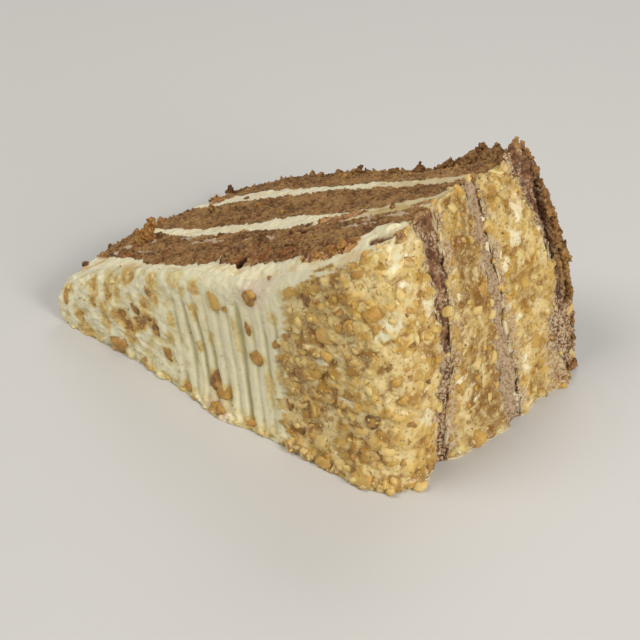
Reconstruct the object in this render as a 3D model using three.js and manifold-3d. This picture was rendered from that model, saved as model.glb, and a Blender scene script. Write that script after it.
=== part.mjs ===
// A slice of three-layer carrot cake lying on one of its two cut sides.
//
// Millimetres. The wedge's point is at -X and its nut-covered rim at +X. The cake's own axis runs
// along +Y: the combed top frosting faces -Y and the base of the cake faces +Y. +Z is up, and the
// lower cut side rests on z = 0.
//
// Every layer is a block of the same wedge, bent out of a box. Across the box, "reach" is the
// distance from the cake's axis in mm, "turn" goes from the lower cut (0) to the upper cut (1),
// and "depth" goes through the layer from its frosting side (0) to its base side (1).

import * as THREE from 'three';
import { mergeVertices } from 'three/addons/utils/BufferGeometryUtils.js';
import Module from 'manifold-3d';

// ---- driving dimensions -------------------------------------------------------------------

const rimRadius = 122;      // cake's axis to the nut-covered side
const cakeHeight = 83;      // combed face to base, through all the layers
const cutRise = 9.5;        // height of the upper cut above the plate at the cake's axis
const cutSlope = 0.575;     // how fast the upper cut climbs towards the rim
const axisX = -62.8;        // where the cake's axis and combed face stand in the part's frame
const faceY = -39.4;
const layerGap = 0.4;       // clearance between neighbouring layers
const tipReach = 16;        // the blunt point ends here and the regular wedge begins
const tipFoot = 4;          // blunt point: where its lower edge stands along X
const tipBrow = 1;          // its upper edge, at the frosting and
const tipBrowAtBase = -2;   // at the base
const tipCrown = 4;         // the sponge stands this much higher along the point

const ridgePitch = 4;       // comb ridges in the top frosting
const ridgeDepth = 1.5;
const ridgedFrom = 24;
const ridgedTo = 102;
const rimRoundReach = 14;   // the frosting's rounded shoulder, along the face and down the side
const rimRoundDrop = 10;

const wallLean = 4;         // the side leans out at the frosting's upper and the base's lower end
const baseRound = 3;        // the base's lower corner is worn off by this much
const footBulge = 2.2;      // the combed face bulges out where it meets the plate
const skirtReach = 6;       // thickness of the frosting pressed on the side of the cake
const crumbRelief = 1.1;    // crags of the sponge on the upper cut
const stripeSink = 1.6;     // bare sponge lies back from the nutted bands
const biggestNut = 6.4;
const largeNut = 5;         // nuts from here up have more faces
const smallestNut = 3.2;
const nuttedRing = 62;      // width of the ring of the combed face that has nuts, from the rim
const turnsOfSide = 6;      // rows of faces from the lower cut to the upper cut

// ---- small tools --------------------------------------------------------------------------

const { clamp, lerp, smoothstep } = THREE.MathUtils;

function seededRandom(seed) {
  let state = seed;
  return () => {
    state = (state * 1664525 + 1013904223) >>> 0;
    return state / 4294967296;
  };
}

// A line through [position, value] pairs, level beyond its ends.
function lineThrough(...pairs) {
  return (position) => {
    const next = pairs.findIndex(([at]) => at > position);
    if (next === 0) return pairs[0][1];
    if (next < 0) return pairs[pairs.length - 1][1];
    const [from, low] = pairs[next - 1];
    const [to, high] = pairs[next];
    return lerp(low, high, (position - from) / (to - from));
  };
}

// Smooth unevenness between -1 and 1 that repeats nowhere within the slice.
function uneven(a, b, seed) {
  const slow = Math.sin(a * 0.31 + seed * 2.1 + 1.7 * Math.sin(b * 0.23 + seed));
  const quick = Math.sin(a * 0.83 - b * 0.57 + seed * 4.3) * Math.cos(b * 0.91 + seed * 1.3);
  return 0.55 * slow + 0.45 * quick;
}

// ---- the wedge ----------------------------------------------------------------------------

const cutAngle = Math.atan(cutSlope);
const cutOffset = cutRise * Math.cos(cutAngle);
const sideStart = rimRadius - skirtReach;

// The upper cut isn't a true plane: the knife lifted the frosting's edge by the point and dragged
// it down further out, the base sags between its ends, and at the rim the lower filling sank
// beside the bottom sponge, which stands up in a peak.
const frostingEdgeLift = lineThrough([0, 2], [20, 5], [48, 0], [71, -6.5], [98, -4], [112, 0]);
const baseEdgeLift = lineThrough(
  [0, -3.5], [20, -1.5], [47, -3.5], [59, -5.4], [74, -6.8], [88, -6], [96, -4], [102, 0]);
const rimDip = lineThrough([50, 0], [56, -2.5], [66, -5.5], [71, -4.5], [75, 1.5], [79, 0]);
const crownAcross = lineThrough([0, 0], [12, 0.8], [22, 1], [38, 1], [58, 0]);

function cutHeight(x, y) {
  const atFrosting = 1 - smoothstep(y, 0, 13);
  const atBase = smoothstep(y, 56, cakeHeight);
  const edges = frostingEdgeLift(x) * atFrosting + baseEdgeLift(x) * atBase;
  const crown = tipCrown * crownAcross(y) * (1 - smoothstep(x, -2, 24));
  return cutRise + cutSlope * x + edges + crown + rimDip(y) * smoothstep(x, 84, 99);
}

// How far the side stands out from a true cylinder: it leans, and crumbs and nuts that slid down
// it spread its foot.
const footSpread = lineThrough([0, 2.5], [20, 3], [45, 5], [58, 4], [70, 0]);

function wallShift(turn, y) {
  const along = clamp((y - 20) / 56, 0, 1);
  const lean = wallLean * (2 * along - 1) * (1 - 2 * turn);
  const hollow = 1.5 * Math.sin(Math.PI * turn) * along;
  const worn = baseRound * smoothstep(y, 72, cakeHeight) * (1 - smoothstep(turn, 0, 0.3));
  return lean - hollow - worn + footSpread(y) * (1 - turn) ** 6;
}

// The point of the wedge at a reach, turn and depth into the cake. The comb was drawn straight
// across the slice, so points at one reach lie in a straight row from cut to cut. Only by the
// blunt point and by the rim do they lie in an arc.
function wedgePoint(reach, turn, y) {
  const arcReach = Math.max(reach, tipReach);
  const wholeSweep = cutAngle + Math.asin(cutOffset / arcReach);
  const sweep = turn * wholeSweep;
  const straightRow = Math.cos(wholeSweep / 2) / Math.cos(sweep - wholeSweep / 2);
  const combed = smoothstep(arcReach, tipReach, tipReach + 24)
    * (1 - smoothstep(arcReach, ridgedTo - 2, sideStart));
  const outward = arcReach * lerp(1, straightRow, combed)
    + wallShift(turn, y) * smoothstep(arcReach, 40, rimRadius);
  let x = outward * Math.cos(sweep);
  let z = outward * Math.sin(sweep);
  if (reach < tipReach) {
    const towardsWedge = reach / tipReach;
    const brow = lerp(tipBrow, tipBrowAtBase, y / cakeHeight);
    x = lerp(lerp(tipFoot, brow, turn), x, towardsWedge);
    z = lerp((cutRise + cutSlope * brow) * turn, z, towardsWedge);
  }
  const flatCut = cutRise + cutSlope * x;
  z *= lerp(1, cutHeight(x, y) / flatCut, turn * turn);
  return new THREE.Vector3(x, y, z);
}

// ---- where the layers meet ----------------------------------------------------------------

// Each meeting is a line through the cut (mm from the combed face, by reach) that turns off near
// the rim, where the frosting of the side laps over the sponge. It gives the lap's edge at the
// lower and at the upper end of the side.
function meeting(line, lapFrom, lowerLap, upperLap) {
  return (reach, turn) => {
    const lap = smoothstep(reach, lapFrom, rimRadius);
    return lerp(line(reach), lerp(lowerLap, upperLap, turn), lap);
  };
}

const frostingToTopSponge = meeting(
  lineThrough([20, 17], [31, 15], [46, 8.6], [74, 6.8], [98, 8.4], [108, 9.8], [115, 19.5]),
  112, 17, 19);
const topSpongeToUpperFilling = meeting(
  lineThrough([24, 34], [40, 31.6], [50, 31], [63, 29.4], [69, 28.4], [86, 28], [98, 27.6],
    [118, 30]),
  sideStart, 22, 28);
const upperFillingToMiddleSponge = meeting(
  lineThrough([16, 37.6], [30, 38.8], [39, 38], [50, 36.9], [65, 37], [80, 35.4], [95, 34.8],
    [118, 37.4]),
  sideStart, 45, 46);
const middleSpongeToLowerFilling = meeting(
  lineThrough([19, 60.8], [46, 59.2], [63, 58], [88, 53.3], [104, 50], [120, 47]),
  sideStart, 52, 52);
const lowerFillingToBottomSponge = meeting(
  lineThrough([14, 70], [31, 70], [45, 67], [72, 61], [102, 54], [120, 50]),
  sideStart, 75, 73);
const baseOfCake = () => cakeHeight;

// The combed face: ridges straight across the slice, shallower towards the smeared point, and the
// rounded shoulder where the face turns into the side.
function combedFace(reach, turn) {
  const overShoulder = clamp((reach - rimRadius + rimRoundReach) / rimRoundReach, 0, 1);
  const shoulder = rimRoundDrop * (1 - Math.sqrt(1 - overShoulder * overShoulder));
  const crest = Math.abs(((reach / ridgePitch) % 1) * 2 - 1);
  const smeared = lerp(0.35, 1, smoothstep(reach, ridgedFrom, ridgedFrom + 10));
  const nutted = 1 - smoothstep(reach, ridgedTo - 10, ridgedTo + 6);
  const pressed = 0.75 + 0.25 * uneven(reach, turn * 40, 3);
  const foot = footBulge * (1 - turn) ** 5 * smoothstep(reach, 30, 60);
  return shoulder - foot + ridgeDepth * smeared * nutted * pressed * (1 - crest);
}

// ---- blocks of the wedge ------------------------------------------------------------------

// Columns across the slice: one every few mm, and closer through the frosting of the side.
function spongeColumns() {
  const columns = [0, tipReach / 2];
  const inner = 12;
  for (let i = 0; i <= inner; i += 1) {
    columns.push(lerp(tipReach, sideStart, i / inner));
  }
  columns.push(sideStart + skirtReach * 0.45, sideStart + skirtReach * 0.8, rimRadius);
  return columns;
}

// Columns of the combed frosting: one on each crest and one in each groove.
function combedColumns() {
  const columns = [0, tipReach / 2];
  for (let reach = tipReach; reach <= ridgedTo; reach += ridgePitch / 2) {
    columns.push(reach);
  }
  columns.push(105, 108, 111.5, sideStart, sideStart + skirtReach * 0.45);
  columns.push(sideStart + skirtReach * 0.8, rimRadius);
  return columns;
}

// The same meeting, straight between the given columns, for a layer with more columns than its
// neighbour has.
function straightBetween(columns, edge) {
  return (reach, turn) => {
    const next = Math.max(1, columns.findIndex((column) => column >= reach));
    const [from, to] = [columns[next - 1], columns[next]];
    return lerp(edge(from, turn), edge(to, turn), (reach - from) / (to - from));
  };
}

// Splits the squares of a box's far face along the same diagonals as those of its near face, so
// that a layer's face runs parallel to the face of the next layer.
function matchDiagonals(box) {
  const corners = box.getIndex().array;
  const farFace = box.groups[5];
  for (let i = farFace.start; i < farFace.start + farFace.count; i += 6) {
    const [a, b, d, , c] = corners.slice(i, i + 6);
    corners.set([a, b, c, a, c, d], i);
  }
}

// The way out of a meeting into the layer in front of it, as a step outwards and a step in depth.
function wayForward(edge, reach, turn) {
  const step = 1.2;
  const slope = (edge(reach + step, turn) - edge(reach - step, turn)) / (2 * step);
  return new THREE.Vector2(slope, -1).normalize();
}

function moveBy(point, step) {
  const outward = new THREE.Vector3(point.x, 0, Math.max(0, point.z)).normalize();
  point.addScaledVector(outward, step.x);
  point.y += step.y;
}

// A box bent into the stretch of the wedge between two meetings, with relief on what shows. Half
// the clearance comes off each face that meets another layer. Swelling moves the cut and the side
// outwards.
function layerBlock(layer, clearance, swelling = 0) {
  const { columns, depths, front, back, cutRelief, sideRelief } = layer;
  const box = new THREE.BoxGeometry(1, 1, 1, columns.length - 1, turnsOfSide, depths);
  matchDiagonals(box);
  const position = box.getAttribute('position');
  for (let i = 0; i < position.count; i += 1) {
    const column = Math.round((position.getX(i) + 0.5) * (columns.length - 1));
    const reach = columns[column];
    const turn = position.getY(i) + 0.5;
    const depth = 0.5 - position.getZ(i);
    const y = lerp(front(reach, turn), back(reach, turn), depth);
    const point = wedgePoint(reach, turn, y);
    const inside = Math.sin(Math.PI * depth);
    if (turn > 0.99) {
      point.z += cutRelief(reach, y) * inside + swelling;
    }
    if (reach === rimRadius && turn > 0.01) {
      const outward = sideRelief(turn, y) * inside + swelling;
      point.x += outward * Math.cos(turn * cutAngle);
      point.z += outward * Math.sin(turn * cutAngle) * (turn < 0.99 ? 1 : 0);
    }
    if (depth === 0 && front !== combedFace) {
      moveBy(point, wayForward(front, reach, turn).multiplyScalar(-clearance / 2));
    }
    if (depth === 1 && back !== baseOfCake) {
      moveBy(point, wayForward(back, reach, turn).multiplyScalar(clearance / 2));
    }
    position.setXYZ(i, point.x, point.y, point.z);
  }
  return solidFrom(box);
}

// ---- solids -------------------------------------------------------------------------------

const wasm = await Module();
wasm.setup();

function solidFrom(geometry) {
  const bare = geometry.clone();
  bare.deleteAttribute('normal');
  bare.deleteAttribute('uv');
  const merged = mergeVertices(bare, 1e-4);
  const mesh = new wasm.Mesh({
    numProp: 3,
    vertProperties: new Float32Array(merged.getAttribute('position').array),
    triVerts: new Uint32Array(merged.getIndex().array),
  });
  return new wasm.Manifold(mesh);
}

function geometryFrom(solid) {
  const mesh = solid.getMesh();
  const geometry = new THREE.BufferGeometry();
  geometry.setAttribute('position', new THREE.BufferAttribute(mesh.vertProperties, 3));
  geometry.setIndex(new THREE.BufferAttribute(mesh.triVerts, 1));
  geometry.computeVertexNormals();
  return geometry;
}

// ---- chopped nuts -------------------------------------------------------------------------

// An angular chip of nut: a flattened ball of twenty or eight faces with its corners pushed about.
function nutChip(size, centre, random) {
  const ball = size > largeNut
    ? new THREE.IcosahedronGeometry(size / 2, 0)
    : new THREE.OctahedronGeometry(size / 1.8, 0);
  const position = ball.getAttribute('position');
  const cornerKeys = new Map();
  const turned = new THREE.Euler(random() * Math.PI, random() * Math.PI, random() * Math.PI);
  const stretch = new THREE.Vector3(1.15, 0.95, 0.7);
  const corner = new THREE.Vector3();
  for (let i = 0; i < position.count; i += 1) {
    corner.fromBufferAttribute(position, i);
    const key = corner.toArray().map((value) => value.toFixed(3)).join();
    if (!cornerKeys.has(key)) cornerKeys.set(key, 0.82 + 0.36 * random());
    corner.multiplyScalar(cornerKeys.get(key)).multiply(stretch).applyEuler(turned).add(centre);
    position.setXYZ(i, corner.x, corner.y, corner.z);
  }
  return solidFrom(ball);
}

// Chips for a stretch of skin: the largest first, each where it is clear enough of those before
// it. placeOn gives a point of the skin and the way out of it, or null beside the stretch.
function nutsOn(placeOn, count, seed) {
  const random = seededRandom(seed);
  const placed = [];
  for (let tries = 0; tries < count * 60 && placed.length < count; tries += 1) {
    const size = lerp(biggestNut, smallestNut, Math.sqrt(placed.length / count));
    const spot = placeOn(random(), random(), size);
    if (spot === null) continue;
    const crowded = placed.some((other) => (
      other.point.distanceTo(spot.point) < 0.42 * (other.size + size)));
    if (!crowded) placed.push({ ...spot, size });
  }
  return placed.map(({ point, out, size }) => (
    nutChip(size, point.addScaledVector(out, size * 0.02), random)));
}

// A point of the skin, if it isn't too near the plate or the upper cut for a chip of this size.
function spotAt(point, overShoulder, size) {
  const tooLow = point.z < size * 0.75;
  const tooHigh = point.z > cutHeight(point.x, point.y) - size * 0.35;
  if (tooLow || tooHigh) return null;
  const out = new THREE.Vector3(point.x, 0, point.z).normalize().multiplyScalar(overShoulder);
  out.y = -Math.sqrt(1 - overShoulder * overShoulder);
  return { point, out };
}

// Spots on the nutted side between two meetings.
function onSide(front, back) {
  return (across, turn, size) => {
    const first = front(rimRadius, turn) + size * 0.45;
    const last = back(rimRadius, turn) - size * 0.45;
    return spotAt(wedgePoint(rimRadius, turn, lerp(first, last, across)), 1, size);
  };
}

// Spots on the outer ring of the combed face, its shoulder and the side above the first stripe.
// The ring thins out inwards, where only stray chips lie between the ridges.
function onFrostingRim(across, turn, size) {
  const sideDepth = 12;
  const along = across * (nuttedRing + sideDepth);
  if (along > nuttedRing) {
    const y = rimRoundDrop + along - nuttedRing;
    const pastEdge = y > frostingToTopSponge(rimRadius, turn) - size * 0.45;
    return pastEdge ? null : spotAt(wedgePoint(rimRadius, turn, y), 1, size);
  }
  const reach = rimRadius - nuttedRing + along;
  const crowding = lerp(0.12, 1, smoothstep(reach, rimRadius - 42, rimRadius - 26));
  if (Math.abs(Math.sin(reach * 12.9 + turn * 78.2)) > crowding) return null;
  const overShoulder = clamp((reach - rimRadius + rimRoundReach) / rimRoundReach, 0, 0.98);
  return spotAt(wedgePoint(reach, turn, combedFace(reach, turn)), overShoulder, size);
}

// ---- torn crumbs --------------------------------------------------------------------------

// A shard of sponge that the knife tore up: a crooked pyramid with its foot in the layer.
function tornShard({ reach, y, height, width, tilt }) {
  const rooted = 3;
  const shard = new THREE.ConeGeometry(width / 2, height + rooted, 5);
  shard.rotateX(Math.PI / 2);
  shard.rotateY(tilt);
  const foot = wedgePoint(reach, 1, y);
  shard.translate(foot.x, foot.y, foot.z + (height - rooted) / 2);
  return solidFrom(shard);
}

// ---- the six layers -----------------------------------------------------------------------

const spongeRelief = {
  cutRelief: (reach, y) => crumbRelief * uneven(reach * 1.3, y * 1.6, 5),
  sideRelief: (turn, y) => -stripeSink + 0.6 * uneven(turn * 50, y * 1.7, 8),
};
const creamRelief = {
  cutRelief: (reach, y) => -0.3 + 0.3 * uneven(reach, y, 11),
  sideRelief: (turn, y) => 0.8 + 0.5 * uneven(turn * 40, y, 13),
};

const topFrosting = {
  columns: combedColumns(),
  depths: 3,
  front: combedFace,
  back: straightBetween(spongeColumns(), frostingToTopSponge),
  ...creamRelief,
};
const topSponge = {
  columns: spongeColumns(),
  depths: 5,
  front: frostingToTopSponge,
  back: topSpongeToUpperFilling,
  ...spongeRelief,
};
const upperFilling = {
  columns: spongeColumns(),
  depths: 3,
  front: topSpongeToUpperFilling,
  back: upperFillingToMiddleSponge,
  ...creamRelief,
};
const middleSponge = {
  columns: spongeColumns(),
  depths: 5,
  front: upperFillingToMiddleSponge,
  back: middleSpongeToLowerFilling,
  ...spongeRelief,
};
const lowerFilling = {
  columns: spongeColumns(),
  depths: 3,
  front: middleSpongeToLowerFilling,
  back: lowerFillingToBottomSponge,
  ...creamRelief,
};
const bottomSponge = {
  columns: spongeColumns(),
  depths: 5,
  front: lowerFillingToBottomSponge,
  back: baseOfCake,
  ...spongeRelief,
};

// The room that a layer takes up, with its clearance, out of which other pieces keep.
function roomOf(layer) {
  return layerBlock(layer, -layerGap).add(layerBlock(layer, -layerGap, layerGap));
}

// A layer with the nuts or shards that stand on it, trimmed clear of the layers beside it.
function dressed(block, pieces, neighbours) {
  const rooms = neighbours.map(roomOf);
  return pieces.reduce((joined, piece) => {
    const trimmed = rooms.reduce((rest, room) => rest.subtract(room), piece);
    return joined.add(trimmed);
  }, layerBlock(block, layerGap));
}

// ---- the slice ----------------------------------------------------------------------------

const finishes = {
  frosting: new THREE.MeshStandardMaterial({ color: '#c2b68c', roughness: 0.42, metalness: 0 }),
  sponge: new THREE.MeshStandardMaterial({ color: '#7f5c33', roughness: 0.9, metalness: 0 }),
  filling: new THREE.MeshStandardMaterial({ color: '#c8bd9c', roughness: 0.55, metalness: 0 }),
};

const slice = new THREE.Group();
slice.position.set(axisX, faceY, 0);

function addLayer(name, finish, solid) {
  const mesh = new THREE.Mesh(geometryFrom(solid), finishes[finish]);
  mesh.name = name;
  slice.add(mesh);
}

addLayer('top_frosting', 'frosting',
  dressed(topFrosting, nutsOn(onFrostingRim, 112, 71), [topSponge]));

addLayer('top_sponge', 'sponge', dressed(topSponge, [
  tornShard({ reach: 16, y: 30, height: 6, width: 6, tilt: 0.3 }),
  tornShard({ reach: 71, y: 20, height: 3, width: 6, tilt: -0.4 }),
], [topFrosting, upperFilling]));

const upperBand = onSide(topSpongeToUpperFilling, upperFillingToMiddleSponge);
addLayer('upper_filling', 'filling',
  dressed(upperFilling, nutsOn(upperBand, 48, 23), [topSponge, middleSponge]));

addLayer('middle_sponge', 'sponge', dressed(middleSponge, [
  tornShard({ reach: 24, y: 52, height: 3.5, width: 5, tilt: -0.5 }),
  tornShard({ reach: 58, y: 47, height: 3, width: 6, tilt: 0.6 }),
], [upperFilling, lowerFilling]));

const lowerBand = onSide(middleSpongeToLowerFilling, lowerFillingToBottomSponge);
addLayer('lower_filling', 'filling',
  dressed(lowerFilling, nutsOn(lowerBand, 66, 47), [middleSponge, bottomSponge]));

addLayer('bottom_sponge', 'sponge', dressed(bottomSponge, [
  tornShard({ reach: 105, y: 79, height: 5, width: 9, tilt: 0.3 }),
  tornShard({ reach: 59, y: 79, height: 3, width: 6, tilt: 0.3 }),
  tornShard({ reach: 14, y: 78, height: 2.5, width: 5, tilt: -0.3 }),
], [lowerFilling]));

export default slice;
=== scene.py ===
"""A slice of three-layer carrot cake lying on one of its cut sides.

The wedge's point is at -X and its nut-covered side at +X. The cake's own axis runs along +Y: the
combed top frosting faces -Y and the base of the cake faces +Y. The lower cut rests on z = 0.

Shapes are worked out in millimetres from the cake's axis, the combed face and the plate. Across
the wedge, "reach" is the distance from the cake's axis, "turn" goes from the lower cut (0) to the
upper cut (1), and y goes from the combed face into the cake.
"""

import math

import bmesh
import bpy
import numpy as np
from mathutils import Matrix, Vector


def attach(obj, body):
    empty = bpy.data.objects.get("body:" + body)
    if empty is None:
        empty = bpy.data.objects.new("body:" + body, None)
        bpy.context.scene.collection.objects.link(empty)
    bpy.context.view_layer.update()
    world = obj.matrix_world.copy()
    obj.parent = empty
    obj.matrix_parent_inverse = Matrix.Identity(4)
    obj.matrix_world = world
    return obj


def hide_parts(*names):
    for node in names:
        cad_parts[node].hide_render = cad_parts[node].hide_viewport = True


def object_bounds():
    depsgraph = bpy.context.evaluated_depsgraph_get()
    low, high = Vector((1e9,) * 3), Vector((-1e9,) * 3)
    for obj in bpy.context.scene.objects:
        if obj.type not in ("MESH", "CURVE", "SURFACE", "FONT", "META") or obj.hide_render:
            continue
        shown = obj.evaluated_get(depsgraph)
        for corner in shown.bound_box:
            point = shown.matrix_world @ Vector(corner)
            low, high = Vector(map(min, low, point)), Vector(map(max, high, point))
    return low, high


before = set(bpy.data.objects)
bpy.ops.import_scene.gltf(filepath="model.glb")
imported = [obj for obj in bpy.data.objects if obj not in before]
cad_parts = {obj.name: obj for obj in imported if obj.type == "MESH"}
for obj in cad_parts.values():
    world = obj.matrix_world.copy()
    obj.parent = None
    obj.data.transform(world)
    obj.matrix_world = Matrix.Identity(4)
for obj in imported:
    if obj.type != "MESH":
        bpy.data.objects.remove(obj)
cad_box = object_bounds()

MM = 0.001

# ---- driving dimensions, in millimetres ----

rim_radius = 122        # cake's axis to the nut-covered side
cake_height = 83        # combed face to base, through all the layers
cut_rise = 9.5          # height of the upper cut above the plate at the cake's axis
cut_slope = 0.575       # how fast the upper cut climbs towards the rim
tip_reach = 16          # the blunt point ends here and the regular wedge begins
tip_foot = 4            # blunt point: where its lower edge stands along X
tip_brow = 1            # its upper edge, at the frosting and
tip_brow_at_base = -2   # at the base
tip_crown = 4           # the sponge stands this much higher along the point

ridge_pitch = 4         # comb ridges in the top frosting
ridge_depth = 1.2
ridged_from = 20
ridged_to = 102
edge_roll = 3           # the combed face rolls over into the upper cut, wider
tip_roll = 7            # by the point
point_bulge = 1.6       # the frosting's point bulges out between its lower and upper edge
rim_round_reach = 14    # the frosting's rounded shoulder, along the face and down the side
rim_round_drop = 10

wall_lean = 4           # the side leans out at the frosting's upper and the base's lower end
base_round = 3          # the base's lower corner is worn off by this much
foot_bulge = 2.2        # the combed face bulges out where it meets the plate, and nuts and
foot_heap = 2.6         # cream were squeezed out this much further halfway along it
split_depth = 2.2       # the side is split along the base's lower edge,
torn_stand = 1.4        # and beyond the split torn crumb stands out
skirt_reach = 6         # thickness of the frosting pressed on the side of the cake
side_rise = 66          # the side's length from cut to cut, and
face_rise = 0.62        # the combed face's at a reach of 1, both roughly
past_rim = 200          # a reach that nothing has
edge_waver = 0.35       # where two layers meet, the line wavers by about this much
stripe_sink = 1.1       # bare sponge lies back from the nutted bands
band_stand = 0.5        # the cream of the nutted bands stands out
grain = 0.42            # faces of what shows are about this wide up the side, and
fine_grain = 0.34       # this wide along and across the slice
hidden_rows_up = 13     # what is hidden has only this many rows of points up the side
hidden_rows_deep = 5    # and through a layer
least_rows_deep = 20    # what shows has at least this many through a layer
rows_at_tip = 32
slice_centre = 80, 0.5  # reach and turn

# The cake's axis and its combed face in the frame: the base's brow is the part's far left, and
# the base is its far side.
axis_x = cad_box[0].x / MM - tip_brow_at_base
face_y = cad_box[1].y / MM - cake_height

cut_angle = math.atan(cut_slope)
cut_offset = cut_rise * math.cos(cut_angle)
side_start = rim_radius - skirt_reach


# ---- small tools ----

def lerp(low, high, share):
    return low + (high - low) * share


def smoothstep(value, start, end):
    share = np.clip((value - start) / (end - start), 0, 1)
    return share * share * (3 - 2 * share)


def line_through(*pairs, eased=3.0):
    """A line through (position, value) pairs, level beyond its ends and eased at its corners."""
    positions, values = zip(*pairs)
    steps = np.linspace(-eased, eased, 7)
    return lambda at: np.mean([np.interp(at + step, positions, values) for step in steps], axis=0)


def uneven(a, b, seed):
    """Smooth unevenness between -1 and 1 that repeats nowhere within the slice."""
    slow = np.sin(a * 0.31 + seed * 2.1 + 1.7 * np.sin(b * 0.23 + seed))
    quick = np.sin(a * 0.83 - b * 0.57 + seed * 4.3) * np.cos(b * 0.91 + seed * 1.3)
    return 0.55 * slow + 0.45 * quick


def linear(value):
    """A screen value of 0 to 255 as a share of light."""
    share = value / 255
    return share / 12.92 if share <= 0.04045 else ((share + 0.055) / 1.055) ** 2.4


def colour(red, green, blue):
    return (linear(red), linear(green), linear(blue), 1)


# ---- the wedge ----

# The upper cut isn't a true plane: the knife lifted the frosting's edge by the point and dragged
# it down further out, the base sags between its ends, and at the rim the lower filling sank
# beside the bottom sponge, which stands up in a peak.
frosting_edge_lift = line_through((0, 2), (20, 5), (48, 0), (71, -6.5), (98, -4), (112, 0))
base_edge_lift = line_through(
    (0, -3.5), (20, -1.5), (47, -3.5), (59, -5.4), (74, -6.8), (88, -6), (96, -4), (102, 0))
rim_dip = line_through((50, 0), (56, -2.5), (66, -5.5), (71, -4.5), (75, 1.5), (79, 0))
crown_across = line_through((0, 0), (12, 0.8), (22, 1), (38, 1), (58, 0))
foot_spread = line_through((0, 2.5), (20, 3), (45, 5), (58, 3), (65, -0.3), (73, 3), (83, 3.4))


def cut_height(x, y):
    at_frosting = 1 - smoothstep(y, 0, 13)
    at_base = smoothstep(y, 56, cake_height)
    edges = frosting_edge_lift(x) * at_frosting + base_edge_lift(x) * at_base
    crown = tip_crown * crown_across(y) * (1 - smoothstep(x, -2, 24))
    return cut_rise + cut_slope * x + edges + crown + rim_dip(y) * smoothstep(x, 84, 99)


def wall_shift(turn, y):
    """How far the side stands out from a true cylinder."""
    along = np.clip((y - 20) / 56, 0, 1)
    lean = wall_lean * (2 * along - 1) * (1 - 2 * turn)
    hollow = 1.5 * np.sin(np.pi * turn) * along
    worn = base_round * smoothstep(y, 72, cake_height) * (1 - smoothstep(turn, 0, 0.3))
    return lean - hollow - worn + foot_spread(y) * (1 - turn) ** 6


def arc_at(reach):
    """The reach and the angle of the arc from cut to cut. The blunt point has those of its end."""
    arc_reach = np.maximum(reach, tip_reach)
    return arc_reach, cut_angle + np.arcsin(cut_offset / arc_reach)


def wedge_point(reach, turn, y):
    """Points of the wedge, as rows of x, y, z in millimetres. The comb was drawn straight across
    the slice, so points at one reach lie in a straight row from cut to cut. Only by the blunt
    point and by the rim do they lie in an arc."""
    reach, turn, y = np.broadcast_arrays(
        np.asarray(reach, float), np.asarray(turn, float), np.asarray(y, float))
    arc_reach, whole_sweep = arc_at(reach)
    sweep = turn * whole_sweep
    straight_row = np.cos(whole_sweep / 2) / np.cos(sweep - whole_sweep / 2)
    combed = (smoothstep(arc_reach, tip_reach, tip_reach + 24)
              * (1 - smoothstep(arc_reach, ridged_to - 2, side_start)))
    outward = (arc_reach * lerp(1, straight_row, combed)
               + wall_shift(turn, y) * smoothstep(arc_reach, 40, rim_radius))
    towards_wedge = np.minimum(reach / tip_reach, 1)
    brow = lerp(tip_brow, tip_brow_at_base, y / cake_height)
    bulge = point_bulge * np.sin(np.pi * turn) * (1 - smoothstep(y, 8, 24))
    x = lerp(lerp(tip_foot, brow, turn) - bulge, outward * np.cos(sweep), towards_wedge)
    z = lerp((cut_rise + cut_slope * brow) * turn, outward * np.sin(sweep), towards_wedge)
    z = z * lerp(1, cut_height(x, y) / (cut_rise + cut_slope * x), turn ** 2)
    return np.stack([x, y, z], axis=-1)


def in_frame(points):
    """Points in millimetres from the cake's axis, in metres in the part's frame."""
    return (points + np.array([axis_x, face_y, 0])) * MM


# ---- where the layers meet ----

def meeting(line, lap_from, lap_edge, seed, spikes=(), ragged_from=past_rim):
    """A line through the cut that turns off near the rim, where the frosting of the side laps
    over the sponge up to its lap edge, by turn. It wavers, as spread cream does. On the upper cut
    spikes of cream stand off it, as reach, height and half width, and from ragged_from on it is
    ragged."""
    def depth_of(reach, turn):
        lap = smoothstep(reach, lap_from, rim_radius)
        along = lerp(line(reach), lap_edge(turn), lap)
        spread = (uneven(reach * 0.9, turn * 50, seed)
                  + 0.5 * uneven(reach * 3.1, turn * 140, seed + 1))
        frayed = (uneven(turn * 190, reach * 2.2, seed + 2)
                  * smoothstep(reach, side_start, rim_radius))
        pulled = sum(height * np.maximum(0, 1 - np.abs(reach - at) / half) ** 1.4
                     for at, height, half in spikes)
        ragged = 1.1 * uneven(reach * 3.7, reach * 2.1, seed + 3) * smoothstep(
            reach, ragged_from, ragged_from + 8)
        on_cut = smoothstep(turn, 0.97, 1)
        return along + edge_waver * (spread + 3 * frayed) + (pulled + ragged) * on_cut
    return depth_of


def up_the_side(*pairs):
    return line_through(*pairs, eased=0.04)


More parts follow.
